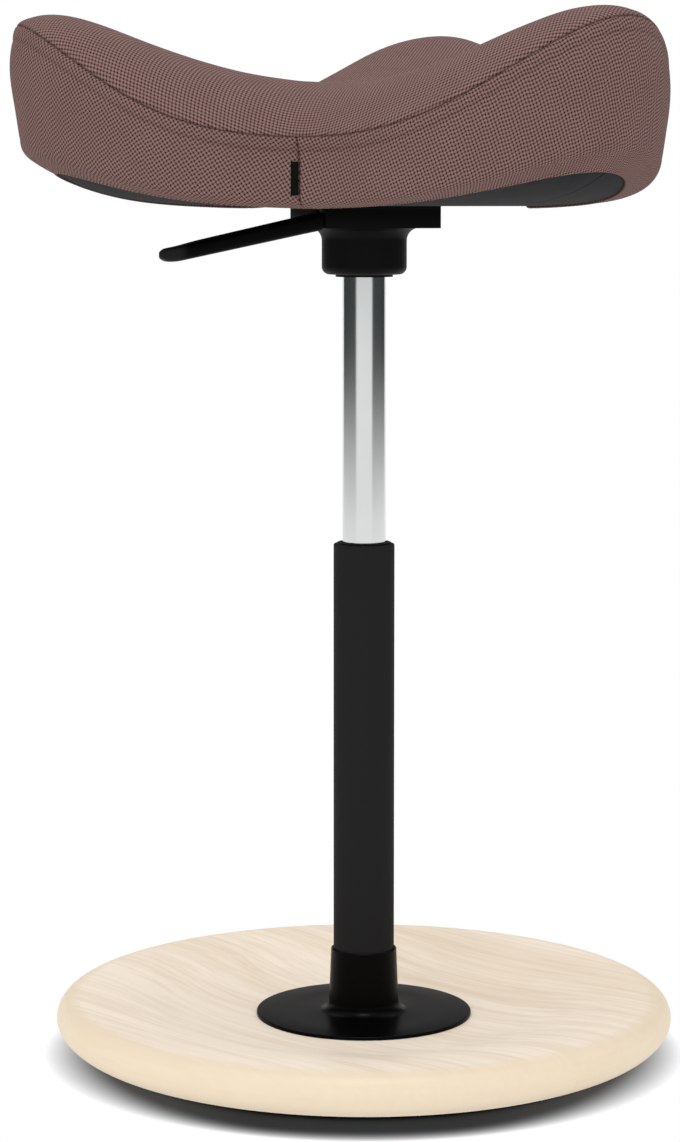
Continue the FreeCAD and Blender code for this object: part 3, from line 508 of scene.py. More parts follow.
def weave_group(name):
    """Plain weave. Each thread is a half wave across, and rises and dips along by turns.

    The thread that lies over is lighter along its top, a painted highlight. The corners between
    threads, where both half waves are near zero, are dark pits of painted shade.
    """
    tree, g, start, end = group_tree(
        name,
        [("Vector", "Vector", None), ("Pitch", "Float", 0.002), ("Thread", "Color", None),
         ("Light", "Color", None), ("Pit", "Color", None)],
        [("Color", "Color"), ("Height", "Float")])
    waver = g.noise(start["Vector"], 260.0, 1.0)
    waver = g.math("MULTIPLY_ADD", waver, 0.16, -0.08)
    x, y, _ = g.split(start["Vector"])
    u = g.math("ADD", g.math("DIVIDE", x, start["Pitch"]), waver)
    v = g.math("ADD", g.math("DIVIDE", y, start["Pitch"]), waver)
    cross_u = g.math("ABSOLUTE", g.math("SINE", g.math("MULTIPLY", u, math.pi)))
    cross_v = g.math("ABSOLUTE", g.math("SINE", g.math("MULTIPLY", v, math.pi)))
    parity = g.math("FLOORED_MODULO", g.math("ADD", g.math("FLOOR", u), g.math("FLOOR", v)), 2.0)
    sign = g.math("MULTIPLY_ADD", parity, 2.0, -1.0)
    over = g.math("MULTIPLY_ADD", g.math("MULTIPLY", sign, cross_v), 0.4, 0.6)
    under = g.math("MULTIPLY_ADD", g.math("MULTIPLY", sign, cross_u), -0.4, 0.6)
    warp = g.math("MULTIPLY", g.math("POWER", cross_u, 0.75), over)
    weft = g.math("MULTIPLY", g.math("POWER", cross_v, 0.75), under)
    height = g.math("MAXIMUM", warp, weft)
    fibre = g.noise(g.stretched(start["Vector"], (5200.0, 5200.0, 1.0)), 1.0, 1.0)
    drift = g.noise(start["Vector"], 38.0, 2.0)
    tone = g.math("MULTIPLY_ADD", g.math("ADD", fibre, drift), 0.18, -0.18)
    # Painted highlight: the top of the thread that lies over is lighter.
    crown_highlight = g.step(g.math("ADD", height, tone), 0.62, 0.92)
    # Painted shade: the corners between threads take the pit colour.
    corner = g.math("MULTIPLY", g.math("SUBTRACT", 1.0, cross_u), g.math("SUBTRACT", 1.0, cross_v))
    filled = g.math("MULTIPLY", g.step(height, 0.08, 0.55, 0.42, 1.0),
                    g.step(corner, 0.18, 0.46, 1.0, 0.0))
    colour = g.mix(crown_highlight, start["Thread"], start["Light"])
    g.put(end["Color"], g.mix(filled, start["Pit"], colour))
    g.put(end["Height"], height)
    return tree


def grain_group(name):
    """Straight grain in glued staves: long streaks, fine pores and a tone for each stave."""
    tree, g, start, end = group_tree(
        name,
        [("Vector", "Vector", None), ("Stave", "Float", 0.045), ("Light", "Color", None),
         ("Dark", "Color", None)],
        [("Color", "Color"), ("Height", "Float"), ("Mask", "Float")])
    x, y, z = g.split(start["Vector"])
    stave = g.math("FLOOR", g.math("ADD", g.math("DIVIDE", y, start["Stave"]), 0.35))
    tone = g.node("ShaderNodeTexWhiteNoise", noise_dimensions="1D")
    g.put(tone.inputs["W"], stave)
    shift = g.math("MULTIPLY", tone.outputs["Value"], 7.0)
    place = g.joined(g.math("ADD", x, shift), g.math("ADD", y, g.math("MULTIPLY", shift, 0.13)), z)
    bend = g.math("MULTIPLY", g.noise(g.stretched(place, (3.0, 7.0, 7.0)), 1.0, 1.0), 0.007)
    px, py, pz = g.split(place)
    place = g.joined(px, g.math("ADD", py, bend), pz)
    streak = g.noise(g.stretched(place, (6.0, 260.0, 160.0)), 1.0, 4.0, 0.6)
    broad = g.noise(g.stretched(place, (2.6, 60.0, 40.0)), 1.0, 2.0)
    pore = g.noise(g.stretched(place, (42.0, 1500.0, 900.0)), 1.0, 2.0)
    pore = g.step(pore, 0.60, 0.74)
    share = g.math("ADD", g.step(streak, 0.38, 0.66, 0.0, 0.40), g.step(broad, 0.38, 0.64, 0.0, 0.26))
    share = g.math("ADD", share, g.math("MULTIPLY_ADD", tone.outputs["Value"], 0.24, -0.10))
    share = g.math("MULTIPLY_ADD", pore, 0.22, share, clamp=True)
    g.put(end["Color"], g.mix(share, start["Light"], start["Dark"]))
    g.put(end["Height"], g.math("SUBTRACT", streak, pore))
    g.put(end["Mask"], pore)
    return tree


def speck_group(name):
    """Fine bumps of a moulded or coated surface, with a slow change of gloss."""
    tree, g, start, end = group_tree(
        name,
        [("Vector", "Vector", None), ("Scale", "Float", 1500.0), ("Gloss", "Float", 0.4),
         ("Spread", "Float", 0.12), ("Color", "Color", None)],
        [("Color", "Color"), ("Height", "Float"), ("Roughness", "Float")])
    fine = g.noise(start["Vector"], start["Scale"], 2.0, 0.6)
    slow = g.noise(start["Vector"], 26.0, 3.0)
    g.put(end["Height"], fine)
    rough = g.math("MULTIPLY_ADD", g.math("SUBTRACT", slow, 0.5), start["Spread"], start["Gloss"])
    g.put(end["Roughness"], rough)
    lift = g.math("MULTIPLY_ADD", fine, 0.35, 0.82)
    scaled = g.node("ShaderNodeVectorMath", operation="SCALE")
    g.put(scaled.inputs[0], start["Color"])
    g.put(scaled.inputs["Scale"], lift)
    g.put(end["Color"], scaled.outputs[0])
    return tree


def dust_group(name):
    """Faint dust that settles in patches on faces that look up, as a mask."""
    tree, g, start, end = group_tree(
        name, [("Vector", "Vector", None), ("Amount", "Float", 0.03)], [("Mask", "Float")])
    shape = g.node("ShaderNodeNewGeometry")
    up = g.split(shape.outputs["Normal"])[2]
    patches = g.step(g.noise(start["Vector"], 60.0, 4.0, 0.65), 0.42, 0.75)
    facing = g.step(up, 0.35, 0.95)
    g.put(end["Mask"], g.math("MULTIPLY", g.math("MULTIPLY", patches, facing), start["Amount"]))
    return tree


def blank_material(name):
    """New material and its empty graph."""
    material = bpy.data.materials.new(name)
    material.use_nodes = True
    return material, Graph(material.node_tree)


def surface(name, roughness=0.5, metallic=0.0, specular=0.5):
    """New material with its graph, its shader and its Object coordinates."""
    material, g = blank_material(name)
    shader = g.node("ShaderNodeBsdfPrincipled")
    shader.inputs["Roughness"].default_value = roughness
    shader.inputs["Metallic"].default_value = metallic
    shader.inputs["Specular IOR Level"].default_value = specular
    end = g.node("ShaderNodeOutputMaterial")
    g.put(end.inputs["Surface"], shader.outputs[0])
    place = g.node("ShaderNodeTexCoord").outputs["Object"]
    return material, g, shader, place


def bump(g, shader, height, distance, strength):
    """Feeds a height to the shader's normal."""
    made = g.node("ShaderNodeBump")
    made.inputs["Distance"].default_value = distance
    made.inputs["Strength"].default_value = strength
    g.put(made.inputs["Height"], height)
    g.put(shader.inputs["Normal"], made.outputs[0])


def rgba(colour):
    """Colour with an alpha of one."""
    return (*colour, 1.0)


def wood_material(name):
    """Clear lacquered pale wood: staves on top, and a bent band of thin layers round the rim."""
    foot, look = settings("foot"), settings("finish")
    material, g, shader, place = surface(name, roughness=0.48, specular=0.15)
    along = g.stretched(place, (1.0, 1.0, 1.0), -foot.grain_direction)
    grain = g.group(once("grain", grain_group), Vector=along, Stave=foot.stave_width,
                    Light=rgba(look.wood_light), Dark=rgba(look.wood_dark))
    x, y, z = g.split(place)
    radius = g.length(x, y)
    band = g.step(radius, foot.radius - foot.rim_top_width - 4 * MM, foot.radius - 6 * MM)
    layers = g.noise(g.stretched(place, (9.0, 9.0, 620.0)), 1.0, 2.0)
    layers = g.step(layers, 0.40, 0.70)
    glue_line = 12.5 * MM
    line = g.step(g.math("ABSOLUTE", g.math("SUBTRACT", z, glue_line)), 0.5 * MM, 1.6 * MM, 0.5, 0.0)
    rim = g.mix(g.math("MULTIPLY_ADD", layers, 0.30, line, clamp=True), rgba(look.wood_rim),
                rgba(look.wood_dark))
    g.put(shader.inputs["Base Color"], g.mix(g.math("MULTIPLY", band, 0.85), grain["Color"], rim))
    g.put(shader.inputs["Roughness"], g.math("MULTIPLY_ADD", grain["Mask"], 0.12, 0.44))
    bump(g, shader, grain["Height"], 0.1 * MM, 0.25)
    return material


def fabric_material(name):
    """Seat fabric: a coarse plain weave of mauve thread, with painted highlights on the threads and
    painted shade in the gaps and along its seams.
    """
    weave, look = settings("weave"), settings("finish")
    material, g, shader, _ = surface(name, roughness=0.85, specular=0.05)
    shader.inputs["Sheen Weight"].default_value = 0.02
    shader.inputs["Sheen Roughness"].default_value = 0.5
    layer = g.node("ShaderNodeUVMap", uv_map="weave")
    cloth = g.group(once("weave", weave_group), Vector=layer.outputs[0], Pitch=weave.pitch,
                    Thread=rgba(look.fabric_thread), Light=rgba(look.fabric_highlight),
                    Pit=rgba(look.fabric_pit_shade))
    # Painted shade: where the marks are, the fabric takes the colour of the gaps.
    g.put(shader.inputs["Base Color"], g.mix(g.marks(), cloth["Color"], rgba(look.fabric_pit_shade)))
    bump(g, shader, cloth["Height"], 0.45 * MM, 0.8)
    return material


def cloth_material(name):
    """Underside cloth: matted dark grey fibres and one sewn seam across two lobes, with painted shade
    along the seam and along the cloth's edge.

    The seam's line is x = a + k (|y| - b)^2 past b, and straight between.
    """
    look = settings("finish")
    seam_x, straight, bend = 76 * MM, 46 * MM, 1.97
    material, g, shader, place = surface(name, roughness=0.9, specular=0.06)
    shader.inputs["Sheen Weight"].default_value = 0.03
    fibres = g.noise(place, 1500.0, 3.0, 0.7)
    patches = g.noise(place, 45.0, 3.0)
    share = g.math("ADD", g.step(fibres, 0.3, 0.7, 0.0, 0.6), g.step(patches, 0.3, 0.7, 0.0, 0.4))
    x, y, _ = g.split(place)
    past = g.math("MAXIMUM", g.math("SUBTRACT", g.math("ABSOLUTE", y), straight), 0.0)
    line = g.math("MULTIPLY_ADD", g.math("MULTIPLY", past, past), bend, seam_x)
    seam = g.step(g.math("ABSOLUTE", g.math("SUBTRACT", x, line)), 0.5 * MM, 1.8 * MM, 0.9, 0.0)
    # Painted shade: dark along the seam's groove and along the cloth's edge by the hem.
    dark = g.math("MAXIMUM", seam, g.marks())
    plain = g.mix(share, rgba(look.cloth_dark), rgba(look.cloth_light))
    g.put(shader.inputs["Base Color"], g.mix(dark, plain, (0.002, 0.002, 0.002, 1.0)))
    bump(g, shader, g.math("SUBTRACT", g.math("MULTIPLY", fibres, 0.3), seam), 0.5 * MM, 0.5)
    return material


def skinned(g, shader, place, colour, scale, gloss, spread, depth):
    """Gives a shader fine bumps and changing gloss, and returns its slightly uneven colour."""
    skin = g.group(once("speck", speck_group), Vector=place, Scale=scale, Gloss=gloss,
                   Spread=spread, Color=rgba(colour))
    g.put(shader.inputs["Roughness"], skin["Roughness"])
    bump(g, shader, skin["Height"], depth, 0.35)
    return skin["Color"]


def coated(name, colour, gloss, spread, scale, depth, specular, dust=0.02):
    """Moulded plastic, rubber or coated metal: fine bumps, changing gloss and faint dust."""
    material, g, shader, place = surface(name, roughness=gloss, specular=specular)
    skin = skinned(g, shader, place, colour, scale, gloss, spread, depth)
    settled = g.group(once("dust", dust_group), Vector=place, Amount=dust)
    g.put(shader.inputs["Base Color"], g.mix(settled["Mask"], skin, (0.35, 0.33, 0.31, 1.0)))
    return material


def lever_material(name):
    """Black plastic of the lever: painted shade makes it darker than the other black plastic, and
    painted light makes it lighter where the thumb lies.
    """
    look = settings("finish")
    material, g, shader, place = surface(name, roughness=0.45, specular=0.05)
    # Painted shade: the lever sits in the seat's shadow, so its black is made darker.
    darker = tuple(0.45 * value for value in look.deep_black)
    skin = skinned(g, shader, place, darker, 1900.0, 0.45, 0.1, 0.035 * MM)
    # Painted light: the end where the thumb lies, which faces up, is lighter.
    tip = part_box("lever")[0].x
    tip_light = g.step(g.split(place)[0], tip + 10 * MM, tip + 17 * MM, 1.0, 0.0)
    g.put(shader.inputs["Base Color"], g.mix(tip_light, skin, (0.014, 0.014, 0.0145, 1.0)))
    return material


def metal(name, colour, gloss, lines):
    """Bare metal with fine turning lines round the column axis."""
    material, g, shader, place = surface(name, roughness=gloss, metallic=1.0)
    rings = g.noise(g.stretched(place, (6.0, 6.0, lines)), 1.0, 3.0, 0.6)
    skin = g.group(once("speck", speck_group), Vector=place, Scale=420.0, Gloss=gloss,
                   Spread=0.06, Color=rgba(colour))
    g.put(shader.inputs["Base Color"], skin["Color"])
    g.put(shader.inputs["Roughness"], g.math("MULTIPLY_ADD", rings, 0.06, skin["Roughness"]))
    bump(g, shader, rings, 0.01 * MM, 0.12)
    return material


def steel_material(name):
    """Ground and polished steel of the cylinder and the rod."""
    look = settings("finish")
    material, g, shader, place = surface(name, roughness=0.16, metallic=1.0)
    rings = g.noise(g.stretched(place, (4.0, 4.0, 1800.0)), 1.0, 3.0, 0.6)
    slow = g.noise(place, 22.0, 2.0)
    tone = g.step(slow, 0.3, 0.7, 0.0, 1.0)
    darker = tuple(0.95 * value for value in look.steel)
    g.put(shader.inputs["Base Color"], g.mix(tone, rgba(look.steel), rgba(darker)))
    g.put(shader.inputs["Roughness"], g.math("MULTIPLY_ADD", rings, 0.08, 0.12))
    bump(g, shader, rings, 0.006 * MM, 0.10)
    return material


def foam_material(name):
    """Open celled foam of the cushion's inside."""
    material, g, shader, place = surface(name, roughness=0.95, specular=0.1)
    cells = g.node("ShaderNodeTexVoronoi")
    g.put(cells.inputs["Vector"], place)
    cells.inputs["Scale"].default_value = 700.0
    g.put(shader.inputs["Base Color"],
          g.mix(cells.outputs["Distance"], (0.62, 0.55, 0.38, 1.0), (0.82, 0.76, 0.60, 1.0)))
    bump(g, shader, cells.outputs["Distance"], 0.4 * MM, 0.5)
    return material


def label_material(name):
    """Bare black woven tab: fine ribs across it."""
    material, g, shader, place = surface(name, roughness=0.8, specular=0.05)
    z = g.split(place)[2]
    ribs = g.math("SINE", g.math("MULTIPLY", z, 2 * math.pi / (0.45 * MM)))
    g.put(shader.inputs["Base Color"],
          g.mix(g.step(ribs, -1.0, 1.0), (0.0015, 0.0015, 0.0015, 1.0), (0.007, 0.007, 0.0065, 1.0)))
    bump(g, shader, ribs, 0.06 * MM, 0.6)
    return material


def finish(slot):
    """Material of one of the record's slots, or of a darker coat within one."""
    black, deep = settings("finish").black, settings("finish").deep_black
    makers = {
        "wood": wood_material,
        "fabric": fabric_material,
        "cloth": cloth_material,
        "label": label_material,
        "foam": foam_material,
        "steel": steel_material,
        "rubber": lambda n: coated(n, (0.014, 0.014, 0.014), 0.75, 0.10, 1300.0, 0.06 * MM, 0.15),
        "black_metal": lambda n: coated(n, black, 0.60, 0.10, 2600.0, 0.03 * MM, 0.04, 0.008),
        "black_flange": lambda n: coated(n, (0.0012, 0.0012, 0.0012), 0.33, 0.08, 2600.0,
                                         0.02 * MM, 0.05, 0.0),
        "black_casting": lambda n: coated(n, deep, 0.55, 0.10, 2200.0, 0.04 * MM, 0.04, 0.0),
        "lever_plastic": lever_material,
        "black_plastic": lambda n: coated(n, deep, 0.50, 0.08, 2000.0, 0.035 * MM, 0.07, 0.004),
        "white_plastic": lambda n: coated(n, (0.70, 0.70, 0.65), 0.4, 0.06, 900.0, 0.01 * MM, 0.4),
        "shell_plastic": lambda n: coated(n, (0.04, 0.04, 0.045), 0.5, 0.1, 1200.0, 0.03 * MM, 0.3),
        "hardened_steel": lambda n: metal(n, (0.42, 0.42, 0.43), 0.26, 900.0),
        "zinc": lambda n: metal(n, (0.62, 0.63, 0.60), 0.36, 300.0),
        "aluminium": lambda n: metal(n, (0.70, 0.71, 0.72), 0.30, 1200.0),
    }
    return once("finish_" + slot, makers[slot])


# Seat surfaces

def column_angles(seat):
    """Angles round the seat, closer together near the valleys, and each one's distance from one.

    Within a third of a turn the angle is t - k sin(2 pi t) / (2 pi), t from 0 to 1.
    """
    crowding = 0.9
    t = np.arange(seat.columns) / seat.columns
    third = t - crowding * np.sin(2 * math.pi * t) / (2 * math.pi)
    turn = np.concatenate([third, third + 1.0, third + 2.0]) * (2 * math.pi / 3)
    return turn + seat.seam_turn


def waves(angle):
    """Cosines of three, six and nine times the angle from the lobe over the lever."""
    a = angle - math.pi
    return np.cos(3 * a), np.cos(6 * a), np.cos(9 * a)


def seat_edge(seat, angle):
    """Radius and height of the seam, and the lift of the underside's edge."""
    c3, c6, c9 = waves(angle)
    radius = seat.mean_radius + seat.lobe_radius * c3 + seat.second_radius * c6
    radius = radius + seat.third_radius * c9
    seam = seat.seam_mean + seat.seam_lobe * c3 + seat.seam_second * c6 + seat.seam_third * c9
    lift = seat.under_lift * ((1 + c3) / 2) ** seat.under_power
    lift = lift + seat.under_flank * (1 - c6) / 2
    return radius, seam, lift


def top_profile(seat, angle, share):
    """Radius and height of the top: a saddle that rises to the lobes and rolls off at its edge.

    With s the share of the seam's radius, the height is c + r s^2 + (e - c - r + d) s^3
    + f (s^2 - s^3) - d s^8: c centre, r rise, e seam, d edge drop, f fullness.
    """
    c3, c6, _ = waves(angle)
    radius, seam, _ = seat_edge(seat, angle)
    drop = seat.drop_mean + seat.drop_lobe * c3
    full = seat.lobe_shift * c3 + seat.second_shift * c6
    height = seat.centre_height + seat.crown_rise * share ** 2
    height = height + (seam - seat.centre_height - seat.crown_rise + drop) * share ** 3
    height = height + full * (share ** 2 - share ** 3) - drop * share ** 8
    return radius * share, height


def side_profile(seat, angle, share):
    """Radius and height of the side: a skewed sine bulge, a straight lean and a round tuck."""
    c3 = waves(angle)[0]
    radius, seam, lift = seat_edge(seat, angle)
    tall = seam - lift
    bulge = (seat.bulge_mean + seat.bulge_lobe * c3) * np.sin(math.pi * share)
    bulge = bulge * (1 + seat.bulge_skew * np.cos(math.pi * share))
    lean = (seat.lean_mean + seat.lean_lobe * c3) * share
    start = 1 - seat.tuck_height / tall
    turn = np.clip((share - start) / (1 - start), 0.0, 1.0)
    tuck = seat.tuck * (1 - np.sqrt(1 - turn * turn))
    return radius + bulge - lean - tuck, seam - tall * share


def bottom_radius(seat, angle):
    """Radius where the side meets the underside."""
    c3 = waves(angle)[0]
    return seat_edge(seat, angle)[0] - (seat.lean_mean + seat.lean_lobe * c3) - seat.tuck


def under_height(seat, angle, radius):
    """Height of the underside: flat in the middle, rising with a power of the radius."""
    lift = seat_edge(seat, angle)[2]
    share = np.clip((radius - seat.flat_radius) / MM, 0.0, 1.0)
    return share * lift * (radius / bottom_radius(seat, angle)) ** seat.under_curve


def hem_radius(seat, angle):
    """Radius of the fabric's hem under the seat."""
    c3, c6, _ = waves(angle)
    width = seat.hem_mean + seat.hem_lobe * c3 + seat.hem_second * c6
    return bottom_radius(seat, angle) - width


def corner_profile(seat, angle, turn):
    """Round lower edge, a quarter of an ellipse from the side to the underside."""
    _, seam, lift = seat_edge(seat, angle)
    start_r, start_z = side_profile(seat, angle, 1 - seat.edge_round / (seam - lift))
    end_r = bottom_radius(seat, angle) - seat.edge_round
    end_z = under_height(seat, angle, end_r)
    a = turn * math.pi / 2
    return end_r + (start_r - end_r) * np.cos(a), end_z + (start_z - end_z) * (1 - np.sin(a))


def shell_top(seat, angle, radius):
    """Height of the shell's upper face, which thins towards its edge."""
    edge = bottom_radius(seat, angle) - seat.edge_round
    share = np.clip((radius - seat.flat_radius) / (edge - seat.flat_radius), 0.0, 1.0)
    thick = seat.shell_middle + (seat.shell_edge - seat.shell_middle) * share
    return under_height(seat, angle, radius) + seat.cover + thick


def seat_base():
    """Height of the underside's flat middle."""
    return low_of("cover_side")


def to_rings(angle, rows):
    """Rings of points from rows of radius and height over the angles."""
    radius = np.stack([np.broadcast_to(r, angle.shape) for r, _ in rows])
    height = np.stack([np.broadcast_to(z, angle.shape) for _, z in rows])
    return np.stack([radius * np.cos(angle), radius * np.sin(angle), seat_base() + height], axis=-1)


def row_lengths(rings):
    """Distance along each column from the first ring."""
    steps = np.linalg.norm(np.diff(rings, axis=0), axis=-1)
    return np.concatenate([np.zeros((1, rings.shape[1])), np.cumsum(steps, axis=0)])


def round_length(rings):
    """Distance round the seat along one ring, with the closing column added."""
    ring = np.concatenate([rings, rings[:1]])
    return np.concatenate([[0.0], np.cumsum(np.linalg.norm(np.diff(ring, axis=0), axis=-1))])


def dent(distance, width):
    """Bell curve, one at zero distance and near zero past twice the width."""
    return np.exp(-(distance / width) ** 2)


def pucker(seat, along):
    """Depth of a seam along its length, a little deeper at each stitch."""
    return 1.0 + 0.45 * np.cos(2 * math.pi * along / seat.pucker_pitch)


def stitch_shade(seat, along):
    """Painted shade of a seam along its length, between one half and one, once for each stitch."""
    return 0.75 + 0.25 * np.cos(2 * math.pi * along / seat.pucker_pitch)


def slack(angle, along):
    """Faint unevenness of stretched fabric, a sum of slow waves of different lengths."""
    waves_ = [(5, 31.0, 0.4), (8, -23.0, 1.9), (13, 41.0, 3.1), (19, -57.0, 0.7), (29, 73.0, 2.2)]
    total = 0.0
    for count, per_metre, start in waves_:
        total = total + np.sin(count * angle + per_metre * along + start) / len(waves_)
    return total


def corner_uv(values):
    """Corners of every quad from values on rows and columns plus the closing column."""
    low, high = values[:-1], values[1:]
    return np.stack([low[:, :-1], low[:, 1:], high[:, 1:], high[:, :-1]], axis=2).reshape(-1, 4, 2)


def spun(u, v, turn):
    """Pair of coordinates turned by an angle."""
    return np.stack([u * math.cos(turn) + v * math.sin(turn),
                     -u * math.sin(turn) + v * math.cos(turn)], axis=-1)


def top_shares():
    """Shares of the radius over the top, closer together towards the seam."""
    t = np.linspace(0.0, 1.0, 110)
    return 0.004 + 0.996 * (1 - (1 - t) ** 1.9)


def cushion_rings(seat, angle):
    """Cushion: the top down to the seam, then inside the side band and over the shell."""
    inset = seat.cover + 0.4 * MM
    rows = [top_profile(seat, angle, s) for s in top_shares()]
    shown = len(rows)
    for share in (0.06, 0.2, 0.4, 0.6, 0.75):
        radius, height = side_profile(seat, angle, share)
        rows.append((radius - inset, height))
    edge = bottom_radius(seat, angle) - seat.edge_round
    for share in (1.0, 0.8, 0.6, 0.4, 0.2, 0.02):
        radius = edge * share
        rows.append((radius, shell_top(seat, angle, radius) + 0.3 * MM))
    return to_rings(angle, rows), shown


def band_rings(seat, angle):
    """Side band: the side, the round lower edge and the hem outside, then back up inside."""
    _, seam, lift = seat_edge(seat, angle)
    last = 1 - seat.edge_round / (seam - lift)
    fine = np.concatenate([np.linspace(0.0, 0.05, 12)[:-1], np.linspace(0.05, 1.0, 52)])
    rows = [side_profile(seat, angle, last * s) for s in fine]
    rows += [corner_profile(seat, angle, t) for t in np.linspace(0.0, 1.0, 11)[1:]]
    start = bottom_radius(seat, angle) - seat.edge_round
    end = hem_radius(seat, angle)
    for share in np.linspace(0.0, 1.0, HEM_ROWS + 1)[1:]:
        radius = start + (end - start) * (1 - (1 - share) ** 1.6)
        rows.append((radius, under_height(seat, angle, radius)))
    shown = len(rows)
    rows.append((end - 0.3 * MM, under_height(seat, angle, end) + 0.5 * seat.cover))
    for share in np.linspace(1.0, 0.0, 6):
        radius = start + (end - start) * share
        rows.append((radius, under_height(seat, angle, radius) + seat.cover))
    for share in np.linspace(1.0, 0.0, 12):
        radius, height = side_profile(seat, angle, last * share)
        sunk = seat.cover + 0.9 * MM * (share == 0.0)
        rows.append((radius - sunk, height - sunk * (share == 0.0)))
    return to_rings(angle, rows), shown


def settle(rings, shown, offset):
    """Moves the shown rings along their normals; an offset below zero goes in."""
    moved = rings.copy()
    normal = normals_of(rings)
    outward = rings[..., :2] * normal[..., :2]
    sign = np.sign(outward.sum(axis=-1)[shown // 2].mean())
    moved[:shown] += sign * normal[:shown] * offset[..., None]
    return moved


class PERCH_OT_foot(bpy.types.Operator):
    """Make the wooden foot and the ribbed pad under it."""

    bl_idname = "perch.foot"
    bl_label = "Foot"

    def execute(self, context):
        foot, column = settings("foot"), settings("column")
        pad_top = high_of("rocker_pad")
        hole = radius_of("stand_tube") + column.spigot_wall + foot.bore_gap
        crest = (foot.radius - foot.rim_top_width, high_of("base_disc"))
        flat = foot.radius - foot.rim_under_width
        run, fall = crest[0] - foot.dish_radius, crest[1] - foot.dish_height
        bend = (run * run + fall * fall) / (4 * fall)
        half = math.degrees(2 * math.atan(fall / run))
        profile = [(hole, pad_top)]
        profile += [(hole + (flat - hole) * s, pad_top) for s in (0.3, 0.6, 0.9)]
        profile += arc((flat, foot.rim_height), (foot.rim_under_width, foot.rim_height - pad_top),
                       -90, 0, 24)
        profile += arc((crest[0], foot.rim_height), (foot.rim_top_width, crest[1] - foot.rim_height),
                       0, 90, 20)[1:]
        profile += arc((crest[0], crest[1] - bend), (bend, bend), 90, 90 + half, 14)[1:]
        profile += arc((foot.dish_radius, foot.dish_height + bend), (bend, bend), -90 + half, -90,
                       14)[1:]
        profile += [(hole + (foot.dish_radius - hole) * s, foot.dish_height) for s in (0.6, 0.3, 0.0)]
        wood = turned("foot_wood", profile, 256)
        finished(wood, "base", "wood", finish("wood"), "base_disc")
        self.pad(foot, pad_top)
        return {"FINISHED"}

    def pad(self, foot, top):
        """Rubber pad: flat on the floor, shallow grooves in rings, the edge rising and rounded.

        The groove's depth over the radius is a half wave raised to a high power.
        """
        reach = radius_of("rocker_pad")
        radius = np.linspace(0.002, reach - foot.pad_edge_round, 220)
        rise = np.clip((radius - foot.pad_flat_radius) / (reach - foot.pad_flat_radius), 0.0, 1.0)
        lower = foot.pad_edge_lift * rise ** 1.7
        groove = np.abs(np.sin(math.pi * radius / foot.rib_pitch)) ** 8
        fade = np.clip((radius - 2 * foot.rib_pitch) / foot.rib_pitch, 0.0, 1.0)
        lower = lower + foot.rib_depth * groove * fade
        profile = list(zip(radius, lower))
        corner = (reach - foot.pad_edge_round, foot.pad_edge_lift + foot.pad_edge_round)
        profile += arc(corner, (foot.pad_edge_round, foot.pad_edge_round), -60, 0, 4)
        profile += [(reach, top), (reach * 0.5, top), (0.002, top)]
        pad = turned("foot_pad", profile, 160, closed=False)
        finished(pad, "base", "rubber", finish("rubber"), "rocker_pad")


